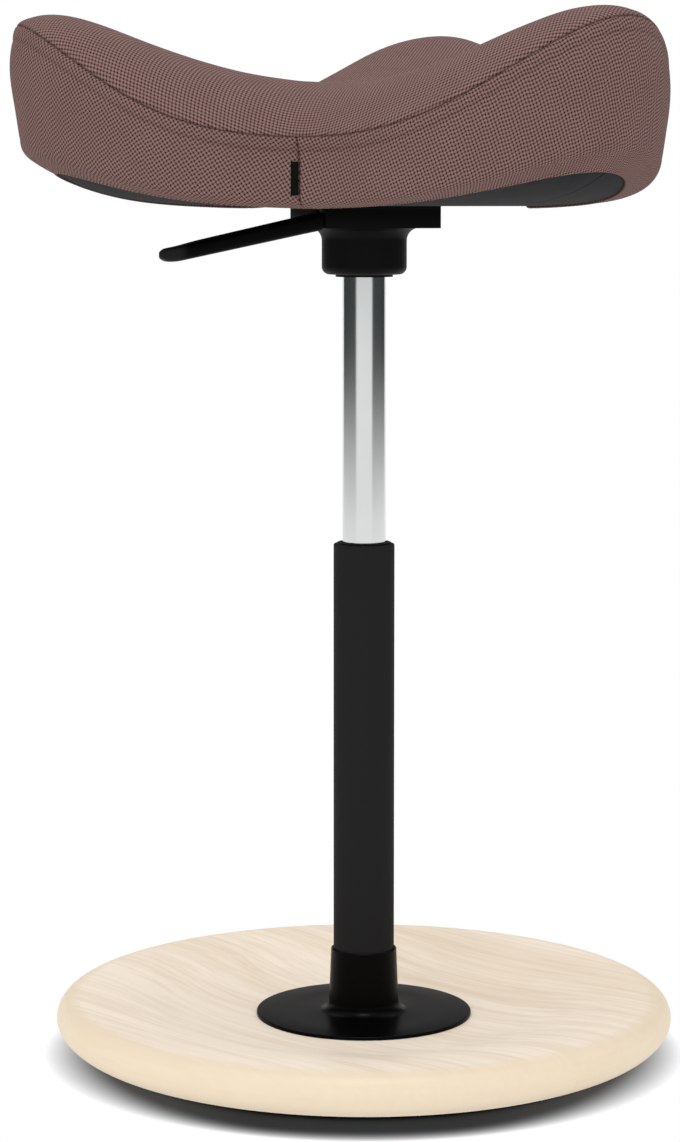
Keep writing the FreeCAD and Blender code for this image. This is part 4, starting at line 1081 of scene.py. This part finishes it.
class PERCH_OT_column(bpy.types.Operator):
    """Make the flange, the stand tube, the guide bush and the gas cylinder."""

    bl_idname = "perch.column"
    bl_label = "Column"

    def execute(self, context):
        self.flange(settings("foot"), settings("column"))
        self.tube(settings("column"))
        self.bush(settings("column"))
        self.cylinder(settings("column"))
        return {"FINISHED"}

    def flange(self, foot, column):
        """Casting turned in one: flange with a rounded edge, filleted collar, spigot and ledge."""
        tube = radius_of("stand_tube")
        bore = tube + column.fit
        low, top = low_of("hub_flange"), high_of("hub_flange")
        face = foot.dish_height + column.flange_thickness
        foot_r, top_r = tube + column.collar_foot_wall, tube + column.collar_top_wall
        fillet, chamfer, edge = column.collar_fillet, column.collar_chamfer, column.flange_round
        spigot = tube + column.spigot_wall
        ledge = tube - 4.7 * MM
        rim = (foot.dish_radius - edge, face - edge)
        profile = [(ledge, low), (spigot, low), (spigot, foot.dish_height),
                   (foot.dish_radius, foot.dish_height)]
        profile += arc(rim, (edge, edge), 0, 90, 6)
        profile += [(foot.dish_radius * 0.7, face)]
        profile += arc((foot_r + fillet, face + fillet), (fillet, fillet), 270, 180, 12)
        profile += [(top_r, top - chamfer), (top_r - chamfer, top), (bore + chamfer, top),
                    (bore, top - chamfer), (bore, low_of("stand_tube")),
                    (ledge, low_of("stand_tube"))]
        piece = turned("flange_collar", profile, 224)
        finished(piece, "base", "black_metal", finish("black_flange"), "hub_flange")

    def tube(self, column):
        """Powder coated tube with a rounded upper edge."""
        radius, low, top = radius_of("stand_tube"), low_of("stand_tube"), high_of("stand_tube")
        bore, edge = radius - column.tube_wall, column.tube_round
        profile = [(bore, low), (radius, low), (radius, (low + top) / 2)]
        profile += arc((radius - edge, top - edge), (edge, edge), 0, 90, 8)
        profile += [(bore, top), (bore, (low + top) / 2)]
        piece = turned("column_tube", profile, 160)
        finished(piece, "base", "black_metal", finish("black_metal"), "stand_tube")

    def bush(self, column):
        """Guide bush with a sloping lip over the end of the tube."""
        outer = radius_of("stand_tube") - column.tube_wall
        inner = radius_of("gas_cylinder") + column.fit
        low, top, rest = low_of("guide_bush"), high_of("guide_bush"), high_of("stand_tube")
        profile = [(inner, low), (outer - column.fit, low), (outer - column.fit, rest), (outer, rest),
                   (outer - column.lip_inset * 0.3, rest + (top - rest) * 0.7),
                   (outer - column.lip_inset, top), (inner + 0.3 * MM, top), (inner, top - 0.3 * MM)]
        piece = turned("guide_lip", profile, 128)
        finished(piece, "base", "black_plastic", finish("black_plastic"), "guide_bush")

    def cylinder(self, column):
        """Steel cylinder: rolled lower lip, long polished wall and a taper at the top."""
        radius, low, top = radius_of("gas_cylinder"), low_of("gas_cylinder"), high_of("gas_cylinder")
        bore = radius - column.cylinder_wall
        lip = bore - 1.8 * MM
        roll = 1.0 * MM
        profile = [(lip, low + 2 * roll), (lip, low)]
        profile += arc((radius - roll, low + roll), (roll, roll), -90, 0, 6)
        profile += [(radius, low + 0.5 * (top - low)), (radius, top - column.taper_height),
                    (radius - column.taper_drop, top - 0.4 * MM),
                    (radius - column.taper_drop - 0.4 * MM, top),
                    (bore, top), (bore, low + 2 * roll)]
        piece = turned("steel_cylinder", profile, 192)
        finished(piece, "seat", "steel", finish("steel"), "gas_cylinder")


class PERCH_OT_mechanism(bpy.types.Operator):
    """Make the cup, the casting and the plate under the seat."""

    bl_idname = "perch.mechanism"
    bl_label = "Mechanism"

    def execute(self, context):
        column = settings("column")
        self.cup(column)
        self.softened("mechanism_body", "mechanism_casting", column.bevel, "black_casting")
        self.softened("seat_plate", "mechanism_plate", column.bevel * 0.5, "black_casting")
        return {"FINISHED"}

    def cup(self, column):
        """Thin cup round the socket: a round lower edge, a straight wall and a flared rim."""
        low, top = low_of("cup_cover"), high_of("cup_cover")
        radius, corner, wall = column.cup_radius, column.cup_corner, column.cup_wall
        flare = radius_of("cup_cover") - radius
        hole = radius_of("gas_cylinder") + 4.45 * MM
        profile = [(hole, low)]
        profile += arc((radius - corner, low + corner), (corner, corner), -90, 0, 12)
        profile += arc((radius + flare, top - flare), (flare, flare), 180, 90, 14)
        inner = radius - wall
        profile += [(inner, top), (inner, low + corner)]
        profile += arc((radius - corner, low + corner), (corner - wall, corner - wall), 0, -90, 6)[1:]
        profile += [(hole, low + wall)]
        piece = turned("cup", profile, 160)
        finished(piece, "seat", "black_plastic", finish("black_plastic"), "cup_cover")

    def softened(self, node, name, width, coat):
        """Copy of a node with its doubles merged and its edges lightly rounded."""
        piece = frame["nodes"][node].copy()
        piece.data = piece.data.copy()
        for key in list(piece.keys()):
            del piece[key]
        piece.name = name
        piece.parent = None
        piece.data.materials.clear()
        bpy.context.scene.collection.objects.link(piece)
        merge(piece)
        rounder = piece.modifiers.new("round", "BEVEL")
        rounder.width = width
        rounder.segments = 2
        rounder.limit_method = "ANGLE"
        rounder.angle_limit = math.radians(50.0)
        rounder.use_clamp_overlap = True
        apply_modifiers(piece)
        finished(piece, "seat", "black_metal", finish(coat), node)


def merge(piece):
    """Joins the loose triangles of a piece at their shared corners."""
    work = bmesh.new()
    work.from_mesh(piece.data)
    bmesh.ops.remove_doubles(work, verts=work.verts, dist=0.002 * MM)
    bmesh.ops.dissolve_limit(work, angle_limit=math.radians(1.0), verts=work.verts, edges=work.edges)
    work.to_mesh(piece.data)
    work.free()


def apply_modifiers(piece):
    """Replaces a piece's mesh by what its modifiers make of it."""
    graph = bpy.context.evaluated_depsgraph_get()
    made = bpy.data.meshes.new_from_object(piece.evaluated_get(graph))
    piece.modifiers.clear()
    piece.data = made
    made.shade_smooth()
    made.set_sharp_from_angle(angle=math.radians(30.0))


class PERCH_OT_lever(bpy.types.Operator):
    """Make the release lever with its flattened end, its neck and its finger."""

    bl_idname = "perch.lever"
    bl_label = "Lever"

    def execute(self, context):
        lever = settings("lever")
        box_low = high_of("cup_cover")
        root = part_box("mechanism_body")[0].x - lever.root_gap
        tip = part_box("lever")[0].x
        arm, quads, fans = self.arm(lever, root, tip, box_low + lever.root_top)
        points, faces, triangles = [arm], [quads], [fans]
        pin_low, pin_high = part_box("pivot_pin")
        pivot = ((pin_low.x + pin_high.x) / 2, (pin_low.z + pin_high.z) / 2)
        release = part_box("release_pin")
        near = pin_low.y + 16.0 * MM
        blocks = [
            ((root - 2.0 * MM, pivot[0]), (near, lever.middle + lever.root_width / 2),
             (pivot[1] - 2.63 * MM, pivot[1] + 0.97 * MM)),
            ((pivot[0], 3.0 * MM), (-4.0 * MM, 4.0 * MM),
             (release[1].z + 0.3 * MM, release[1].z + 3.4 * MM)),
        ]
        count = len(arm)
        for spans in blocks:
            corners, sides = block(*spans)
            points.append(corners)
            faces.append(sides + count)
            count += len(corners)
        boss, boss_quads, boss_fans = bar(pivot, (near, 4.0 * MM), 3.3 * MM)
        points.append(boss)
        faces.append(boss_quads + count)
        triangles.append(boss_fans + count)
        piece = mesh_piece("release_lever", np.concatenate(points), np.concatenate(faces),
                           np.concatenate(triangles))
        finished(piece, "lever_arm", "black_plastic", finish("lever_plastic"), "lever")
        return {"FINISHED"}

    def arm(self, lever, root, tip, root_top):
        """Arm along -X: rings of a rounded box whose width, height and middle change smoothly.

        Across, each ring is a superellipse |y|^n + |z|^n = 1. Along, the width follows the plan's
        round end, w sqrt(1 - t^2) over the last half width, and the top is hollowed at the end.
        """
        rows, columns = 90, 64
        t = np.linspace(0.0, 1.0, rows)
        run = root - tip
        along = run * (1 - (1 - t) ** 1.6)
        x = root - along
        share = along / run
        wide = (lever.root_width + (lever.tip_width - lever.root_width) * share) / 2
        nose = lever.tip_width / 2
        end = np.clip((along - (run - nose)) / nose, 0.0, 1.0)
        wide = wide * np.sqrt(np.maximum(1 - end ** 2, 0.0004))
        tall = lever.root_height + (lever.tip_height - lever.root_height) * share
        tall = tall - lever.tip_lift * end ** 2
        middle = root_top - along * math.tan(lever.slope) - tall / 2
        tall = tall / 2 * (1 - 0.55 * np.clip((along - (run - 5 * MM)) / (5 * MM), 0, 1) ** 2)
        a = np.linspace(0.0, 2 * math.pi, columns, endpoint=False)
        power = 2 / 4.2
        across = np.sign(np.cos(a)) * np.abs(np.cos(a)) ** power
        up = np.sign(np.sin(a)) * np.abs(np.sin(a)) ** power
        y = lever.middle + wide[:, None] * across
        hollow = dent(along - (run - 11 * MM), 9 * MM)[:, None] * (1 - across ** 2)
        z = middle[:, None] + tall[:, None] * up - lever.paddle_dip * hollow * (up > 0)
        rings = np.stack([np.broadcast_to(x[:, None], y.shape), y, z], axis=-1)
        points, fans = capped(rings.reshape(-1, 3), rows, columns)
        return points, ring_faces(rows, columns, False)[:, ::-1], fans[:, ::-1]


def block(x, y, z):
    """Corners and outward faces of a box between pairs of limits."""
    corners = np.array([[a, b, c] for a in x for b in y for c in z])
    sides = np.array([[0, 1, 3, 2], [4, 6, 7, 5], [0, 4, 5, 1], [2, 3, 7, 6], [0, 2, 6, 4],
                      [1, 5, 7, 3]])
    return corners, sides


def bar(centre, span, radius, columns=32):
    """Round bar along Y, its ends closed."""
    a = np.linspace(0.0, 2 * math.pi, columns, endpoint=False)
    rows = [np.stack([centre[0] + radius * np.cos(a), np.full(columns, y),
                      centre[1] + radius * np.sin(a)], axis=-1) for y in span]
    points, fans = capped(np.concatenate(rows), 2, columns)
    return points, ring_faces(2, columns, False)[:, ::-1], fans[:, ::-1]


class PERCH_OT_cushion(bpy.types.Operator):
    """Make the cushion with its fabric top."""

    bl_idname = "perch.cushion"
    bl_label = "Cushion"

    def execute(self, context):
        seat, weave = settings("seat"), settings("weave")
        angle = column_angles(seat)
        rings, shown = cushion_rings(seat, angle)
        lengths = row_lengths(rings)
        to_seam = lengths[shown - 1] - lengths[:shown]
        along = round_length(rings[shown - 1])[:-1]
        offset = -seat.seam_depth * dent(to_seam, seat.seam_width) * pucker(seat, along)
        offset += seat.puff * dent(to_seam - 5 * MM, 4 * MM)
        offset += SLACK_TOP * slack(angle, lengths[:shown]) * np.clip(to_seam / SLACK_REACH, 0, 1)
        # Painted shade along the seam's groove, darker at each stitch.
        marks = SEAM_SHADE * dent(to_seam, SEAM_SHADE_WIDTH) * stitch_shade(seat, along)
        rings = settle(rings, shown, offset)
        lengths = row_lengths(rings) + rings[0, 0, 0]
        closing = np.concatenate([angle, angle[:1] + 2 * math.pi])
        radial = np.concatenate([lengths, lengths[:, :1]], axis=1)
        turn = closing - weave.top_direction
        values = np.stack([radial * np.cos(turn), radial * np.sin(turn)], axis=-1)
        piece = ring_piece("seat_top", rings, False, corner_uv(values), marks)
        finished(piece, "seat", "fabric", finish("fabric"), "cover_top", "seat_foam")
        return {"FINISHED"}


class PERCH_OT_side_band(bpy.types.Operator):
    """Make the side band of the cover, with its three upright seams and its hem."""

    bl_idname = "perch.side_band"
    bl_label = "Side band"

    def execute(self, context):
        seat, weave = settings("seat"), settings("weave")
        angle = column_angles(seat)
        rings, shown = band_rings(seat, angle)
        lengths = row_lengths(rings)[:shown]
        along = round_length(rings[0])[:-1]
        radius = np.linalg.norm(rings[:shown, :, :2], axis=-1)
        third = 2 * math.pi / 3
        near = np.abs((angle - seat.seam_turn + third / 2) % third - third / 2) * radius
        offset = -seat.seam_depth * dent(lengths, seat.seam_width) * pucker(seat, along)
        offset += seat.puff * dent(lengths - 4.5 * MM, 3 * MM)
        offset -= seat.crease_depth * dent(lengths - seat.crease_drop, 1.3 * MM)
        upright = dent(near, seat.seam_width) * pucker(seat, lengths)
        offset -= 0.75 * seat.seam_depth * upright
        offset += 0.5 * seat.puff * dent(near - 4 * MM, 3 * MM)
        offset += SLACK_SIDE * slack(angle, lengths) * np.clip(lengths / SLACK_REACH, 0, 1)
        flat = np.linspace(1.0, 0.0, HEM_ROWS + 1)[1:]
        offset[-HEM_ROWS:] *= flat[:, None]
        to_hem = (lengths[-1] - lengths)[-HEM_ROWS:]
        offset[-HEM_ROWS:] += seat.hem_roll * dent(to_hem - 1.6 * MM, 1.5 * MM)
        # Painted shade along the top seam, the upright seams, the crease and the hem's edge.
        marks = np.maximum(SEAM_SHADE * dent(lengths, SEAM_SHADE_WIDTH) * stitch_shade(seat, along),
                           0.8 * dent(near, 0.6 * MM) * stitch_shade(seat, lengths))
        marks = np.maximum(marks, 0.22 * dent(lengths - seat.crease_drop, 0.9 * MM))
        marks[-HEM_ROWS:] = np.maximum(marks[-HEM_ROWS:], 0.8 * dent(to_hem, 0.5 * MM))
        rings = settle(rings, shown, offset)
        piece = ring_piece("seat_side", rings, True, self.pattern(seat, weave, rings, shown), marks)
        finished(piece, "seat", "fabric", finish("fabric"), "cover_side")
        return {"FINISHED"}

    def pattern(self, seat, weave, rings, shown):
        """Flat pattern of each of the three pieces of the band.

        Across is the distance round the seam, and up is the height at the seam less the distance
        down the profile, both turned by the angle at which that piece was cut.
        """
        lengths = row_lengths(np.concatenate([rings, rings[:1]]))
        lengths = np.concatenate([lengths, lengths[:, :1]], axis=1)
        across = round_length(rings[shown // 3])
        top = np.concatenate([rings[0, :, 2], rings[:1, 0, 2]])
        up = top - lengths
        turns = (weave.back_turn, weave.left_turn, weave.right_turn)
        corners = []
        for piece, turn in enumerate(turns):
            values = spun(np.broadcast_to(across, up.shape), up, turn)
            columns = values[:, piece * seat.columns:(piece + 1) * seat.columns + 1]
            corners.append(corner_uv(columns).reshape(len(rings), seat.columns, 4, 2))
        return np.concatenate(corners, axis=1).reshape(-1, 4, 2)


class PERCH_OT_underside(bpy.types.Operator):
    """Make the dark cloth stretched under the seat."""

    bl_idname = "perch.underside"
    bl_label = "Underside cloth"

    def execute(self, context):
        seat = settings("seat")
        angle = column_angles(seat)
        edge = hem_radius(seat, angle) - 0.3 * MM
        low = seat.cover - seat.cloth
        shares = 0.02 + 0.98 * (1 - (1 - np.linspace(0.0, 1.0, 90)) ** 1.6)
        rows = [(edge * s, under_height(seat, angle, edge * s) + low) for s in shares]
        high = seat.cover - 0.05 * MM
        for share in (1.0, *np.linspace(0.98, 0.02, 12)):
            rows.append((edge * share, under_height(seat, angle, edge * share) + high))
        rings = to_rings(angle, rows)
        # Painted shade along the cloth's edge, where it meets the hem.
        marks = SEAM_SHADE * dent((1 - shares)[:, None] * edge, 1.0 * MM)
        piece = ring_piece("underside_cloth_sheet", rings, False, None, marks)
        finished(piece, "seat", "cloth", finish("cloth"), "underside_cloth")
        return {"FINISHED"}


class PERCH_OT_label(bpy.types.Operator):
    """Make the bare woven tab beside the side seam."""

    bl_idname = "perch.label"
    bl_label = "Tab"

    def execute(self, context):
        """The tab follows the side's profile, lifted off it, with rounded long edges."""
        seat = settings("seat")
        low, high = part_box("label_tab")
        edge_angle = math.radians(240.0) + seat.seam_turn
        radius = float(seat_edge(seat, np.array([edge_angle]))[0][0])
        across = np.linspace(0.0, 1.0, 9)
        angle = edge_angle - (0.2 + 4.7 * across) * MM / radius
        height = np.linspace(high.z, low.z, 33) - seat_base()
        _, seam, lift = seat_edge(seat, angle)
        share = (seam[None, :] - height[:, None]) / (seam - lift)[None, :]
        r = side_profile(seat, angle[None, :], share)[0]
        arch = 0.55 * MM * np.sqrt(np.clip(1 - (2 * across - 1) ** 4, 0, 1))
        curl = 0.5 * MM * dent(height - height[-1], 2 * MM)[:, None]
        outer = r + 0.65 * MM + arch + curl
        inner = r + 0.5 * MM + curl
        loop_r = np.concatenate([outer, inner[:, ::-1]], axis=1)
        loop_a = np.concatenate([angle, angle[::-1]])
        rings = np.stack([loop_r * np.cos(loop_a), loop_r * np.sin(loop_a),
                          np.broadcast_to(height[:, None] + seat_base(), loop_r.shape)], axis=-1)
        piece = ring_piece("side_tab", rings, False)
        finished(piece, "seat", "label", finish("label"), "label_tab")
        return {"FINISHED"}


class PERCH_OT_inner(bpy.types.Operator):
    """Give every node that stays as it is the material of its slot."""

    bl_idname = "perch.inner"
    bl_label = "Inner pieces"

    def execute(self, context):
        for entry in frame["record"]["subparts"]:
            node = frame["nodes"][entry["node"]]
            if node.hide_render:
                continue
            material = finish(entry["material_slot"])
            if not node.material_slots:
                node.data.materials.append(material)
            for place in node.material_slots:
                place.link = "OBJECT"
                place.material = material
        return {"FINISHED"}


class PERCH_OT_stage(bpy.types.Operator):
    """Make the camera, the lamps, the floor with its painted shadow, and the cards that give polished
    surfaces painted reflections.
    """

    bl_idname = "perch.stage"
    bl_label = "Stage"

    def execute(self, context):
        stage = settings("stage")
        self.camera(stage)
        self.world(stage)
        self.floor()
        self.lamp("overhead", stage.lamp, (0.0, 0.0, 2.6), (0.0, 0.0, 0.0), 2.6)
        a = stage.camera_turn
        beside = (3.0 * math.sin(a - 0.35), -3.0 * math.cos(a - 0.35), 1.5)
        self.lamp("front", stage.front, beside, (0.0, 0.0, 0.35), 2.0)
        for side in (-1, 1):
            self.card(stage, side)
        # Painted reflections: a grey band round the horizon and a bright disk above on the camera's
        # side, both glowing but no lamps.
        self.plain_card("horizon", (3.2, 3.2), (0.62, 2.4), 0.14)
        above = (0.9 * math.sin(a), -0.9 * math.cos(a))
        self.plain_card("reflected_glow_disk", (0.02, 0.45), (2.2, 2.2), 13.0, above)
        context.scene.view_settings.view_transform = "Standard"
        return {"FINISHED"}

    def camera(self, stage):
        """Camera at the photograph's place, with its lens."""
        data = bpy.data.cameras.new("camera")
        data.lens = stage.lens
        data.sensor_width = 36.0
        data.shift_y = stage.shift
        data.clip_end = 50.0
        camera = bpy.data.objects.new("camera", data)
        bpy.context.scene.collection.objects.link(camera)
        a = stage.camera_turn
        place = Vector((stage.camera_distance * math.sin(a), -stage.camera_distance * math.cos(a),
                        stage.camera_height))
        heading = a + stage.camera_yaw
        look = Vector((-math.sin(heading) * math.cos(stage.camera_pitch),
                       math.cos(heading) * math.cos(stage.camera_pitch), -math.sin(stage.camera_pitch)))
        camera.location = place
        camera.rotation_euler = look.to_track_quat("-Z", "Y").to_euler()
        bpy.context.scene.camera = camera

    def world(self, stage):
        """Even light from all round; the camera, gloss and glass see plain white."""
        world = bpy.data.worlds.new("studio")
        world.use_nodes = True
        g = Graph(world.node_tree)
        sky = g.node("ShaderNodeBackground")
        sky.inputs["Strength"].default_value = stage.sky
        white = g.node("ShaderNodeBackground")
        white.inputs["Strength"].default_value = 1.0
        for shader in (sky, white):
            shader.inputs["Color"].default_value = WHITE
        end = g.node("ShaderNodeOutputWorld")
        g.put(end.inputs["Surface"], g.mix_shaders(g.seen(), sky, white))
        bpy.context.scene.world = world

    def floor(self):
        """Round floor: a painted shadow, a dark disk under the foot, fades to plain white past the
        foot.

        The fade is 1 - (e - r) / w raised to a power, with r the radius and e the radius at which
        it ends. To the sides of the view's middle plane the disk is paler, the fade's width w
        grows and its power falls.
        """
        radius = np.array([0.05, 0.2, 0.35, 0.6, 1.2, 3.0, 9.0])[:, None]
        rows, columns = len(radius), 96
        points = circles(radius, 0.0, columns).reshape(-1, 3)
        points, fans = capped(points, rows, columns)
        quads = ring_faces(rows, columns, False)
        floor = mesh_piece("floor", points[:-1], quads, fans[:columns])
        material, g = blank_material("floor")
        place = g.node("ShaderNodeTexCoord").outputs["Object"]
        x, y, _ = g.split(place)
        turn = settings("stage").camera_turn
        across = g.math("MULTIPLY_ADD", x, math.cos(turn), g.math("MULTIPLY", y, math.sin(turn)))
        side = g.step(g.math("ABSOLUTE", across), 50 * MM, 190 * MM)
        width = g.math("MULTIPLY_ADD", side, 12 * MM, 24 * MM)
        fade_end = settings("foot").radius + 8 * MM
        inside = g.math("SUBTRACT", fade_end, g.length(x, y))
        fade = g.math("SUBTRACT", 1.0, g.math("DIVIDE", inside, width), clamp=True)
        fade = g.math("POWER", fade, g.math("MULTIPLY_ADD", side, -1.6, 3.0))
        # Painted shadow: the dark colour under the foot, paler to the sides of the camera's view,
        # stands for the stool's shadow.
        painted_shadow = g.node("ShaderNodeBsdfDiffuse")
        g.put(painted_shadow.inputs["Color"], g.mix(side, (0.038, 0.043, 0.050, 1.0), (0.10, 0.11, 0.125, 1.0)))
        plain = g.node("ShaderNodeEmission")
        plain.inputs["Strength"].default_value = 1.0
        end = g.node("ShaderNodeOutputMaterial")
        g.put(end.inputs["Surface"], g.mix_shaders(g.math("MULTIPLY", fade, g.seen()), painted_shadow, plain))
        floor.data.materials.append(material)
        floor.visible_diffuse = False

    def lamp(self, name, power, place, aim, size):
        """Large soft lamp that looks at a point and doesn't show in reflections."""
        data = bpy.data.lights.new(name, "AREA")
        data.shape = "DISK"
        data.size = size
        data.energy = power
        lamp = bpy.data.objects.new(name, data)
        lamp.location = place
        lamp.rotation_euler = (Vector(aim) - Vector(place)).to_track_quat("-Z", "Y").to_euler()
        lamp.visible_glossy = False
        bpy.context.scene.collection.objects.link(lamp)

    def card(self, stage, side):
        """Dark curved card beside the stool that only glossy surfaces see: a painted dark reflection
        that blocks no light.

        It fades towards the floor and towards both of its ends.
        """
        reach, columns = 1.1, 25
        share = np.linspace(0.0, 1.0, columns)
        view = stage.camera_turn - math.pi / 2
        start, end = math.radians(36.0), math.radians(139.0)
        angle = view + side * (start + (end - start) * share)
        height = np.array([0.02, 0.75])[:, None]
        points = np.stack([np.broadcast_to(reach * np.cos(angle), (2, columns)),
                           np.broadcast_to(reach * np.sin(angle), (2, columns)),
                           np.broadcast_to(height, (2, columns))], axis=-1).reshape(-1, 3)
        index = np.arange(2 * columns).reshape(2, columns)
        quads = np.stack([index[0, :-1], index[0, 1:], index[1, 1:], index[1, :-1]], axis=-1)
        ends = np.clip(np.minimum(share / 0.13, (1.0 - share) / 0.05), 0.0, 1.0)
        marks = np.broadcast_to(ends, (2, columns)).ravel()
        card = mesh_piece("card_left" if side < 0 else "card_right", points, quads, marks=marks)
        material, g = blank_material("card")
        z = g.split(g.node("ShaderNodeTexCoord").outputs["Object"])[2]
        clear = g.node("ShaderNodeBsdfTransparent")
        dark = g.node("ShaderNodeEmission")
        dark.inputs["Color"].default_value = (0.05, 0.055, 0.055, 1.0)
        shown = g.math("MULTIPLY", g.step(z, 0.20, 0.43), g.step(g.marks(), 0.0, 1.0))
        g.put(g.node("ShaderNodeOutputMaterial").inputs["Surface"], g.mix_shaders(shown, clear, dark))
        self.reflected(card, material)

    def plain_card(self, name, radii, heights, strength, place=(0.0, 0.0)):
        """Turned band or disk of even brightness that only glossy surfaces reflect: a painted
        reflection that glows but is no lamp.
        """
        columns = 64
        points = circles(np.array(radii)[:, None], np.array(heights)[:, None], columns, place)
        card = mesh_piece(name, points.reshape(-1, 3), ring_faces(2, columns, False))
        material, g = blank_material(name)
        even = g.node("ShaderNodeEmission")
        even.inputs["Strength"].default_value = strength
        g.put(g.node("ShaderNodeOutputMaterial").inputs["Surface"], even.outputs[0])
        self.reflected(card, material)

    def reflected(self, card, material):
        """Hides a card from everything but reflections."""
        card.data.materials.append(material)
        card.visible_camera = card.visible_diffuse = card.visible_shadow = False
        card.visible_transmission = card.visible_volume_scatter = False


class PERCH_PT_panel(bpy.types.Panel):
    """Lists the stool's sizes, colours and steps."""

    bl_idname = "PERCH_PT_panel"
    bl_label = "Perch Stool"
    bl_space_type = "VIEW_3D"
    bl_region_type = "UI"
    bl_category = "Perch Stool"

    def draw(self, context):
        for operator in OPERATORS:
            self.layout.operator(operator.bl_idname)
        for name, group in GROUPS.items():
            box = self.layout.box()
            box.label(text=name.capitalize())
            for prop in group.__annotations__:
                box.prop(settings(name), prop, text=prop.replace("_", " ").capitalize())


GROUPS = {"foot": FootSettings, "column": ColumnSettings, "lever": LeverSettings,
          "seat": SeatSettings, "weave": WeaveSettings, "finish": FinishSettings,
          "stage": StageSettings}
OPERATORS = (PERCH_OT_stage, PERCH_OT_foot, PERCH_OT_column, PERCH_OT_mechanism, PERCH_OT_lever,
             PERCH_OT_cushion, PERCH_OT_side_band, PERCH_OT_underside, PERCH_OT_label,
             PERCH_OT_inner)


def register():
    """Registers the settings, the operators and the panel."""
    for name, group in GROUPS.items():
        bpy.utils.register_class(group)
        setattr(bpy.types.Scene, "perch_" + name, PointerProperty(type=group))
    for item in (*OPERATORS, PERCH_PT_panel):
        bpy.utils.register_class(item)


def unregister():
    """Takes them away again."""
    for item in (PERCH_PT_panel, *reversed(OPERATORS)):
        bpy.utils.unregister_class(item)
    for name, group in reversed(GROUPS.items()):
        delattr(bpy.types.Scene, "perch_" + name)
        bpy.utils.unregister_class(group)


def main():
    register()
    for operator in OPERATORS:
        group, step = operator.bl_idname.split(".")
        getattr(getattr(bpy.ops, group), step)()


if __name__ == "__main__":
    main()
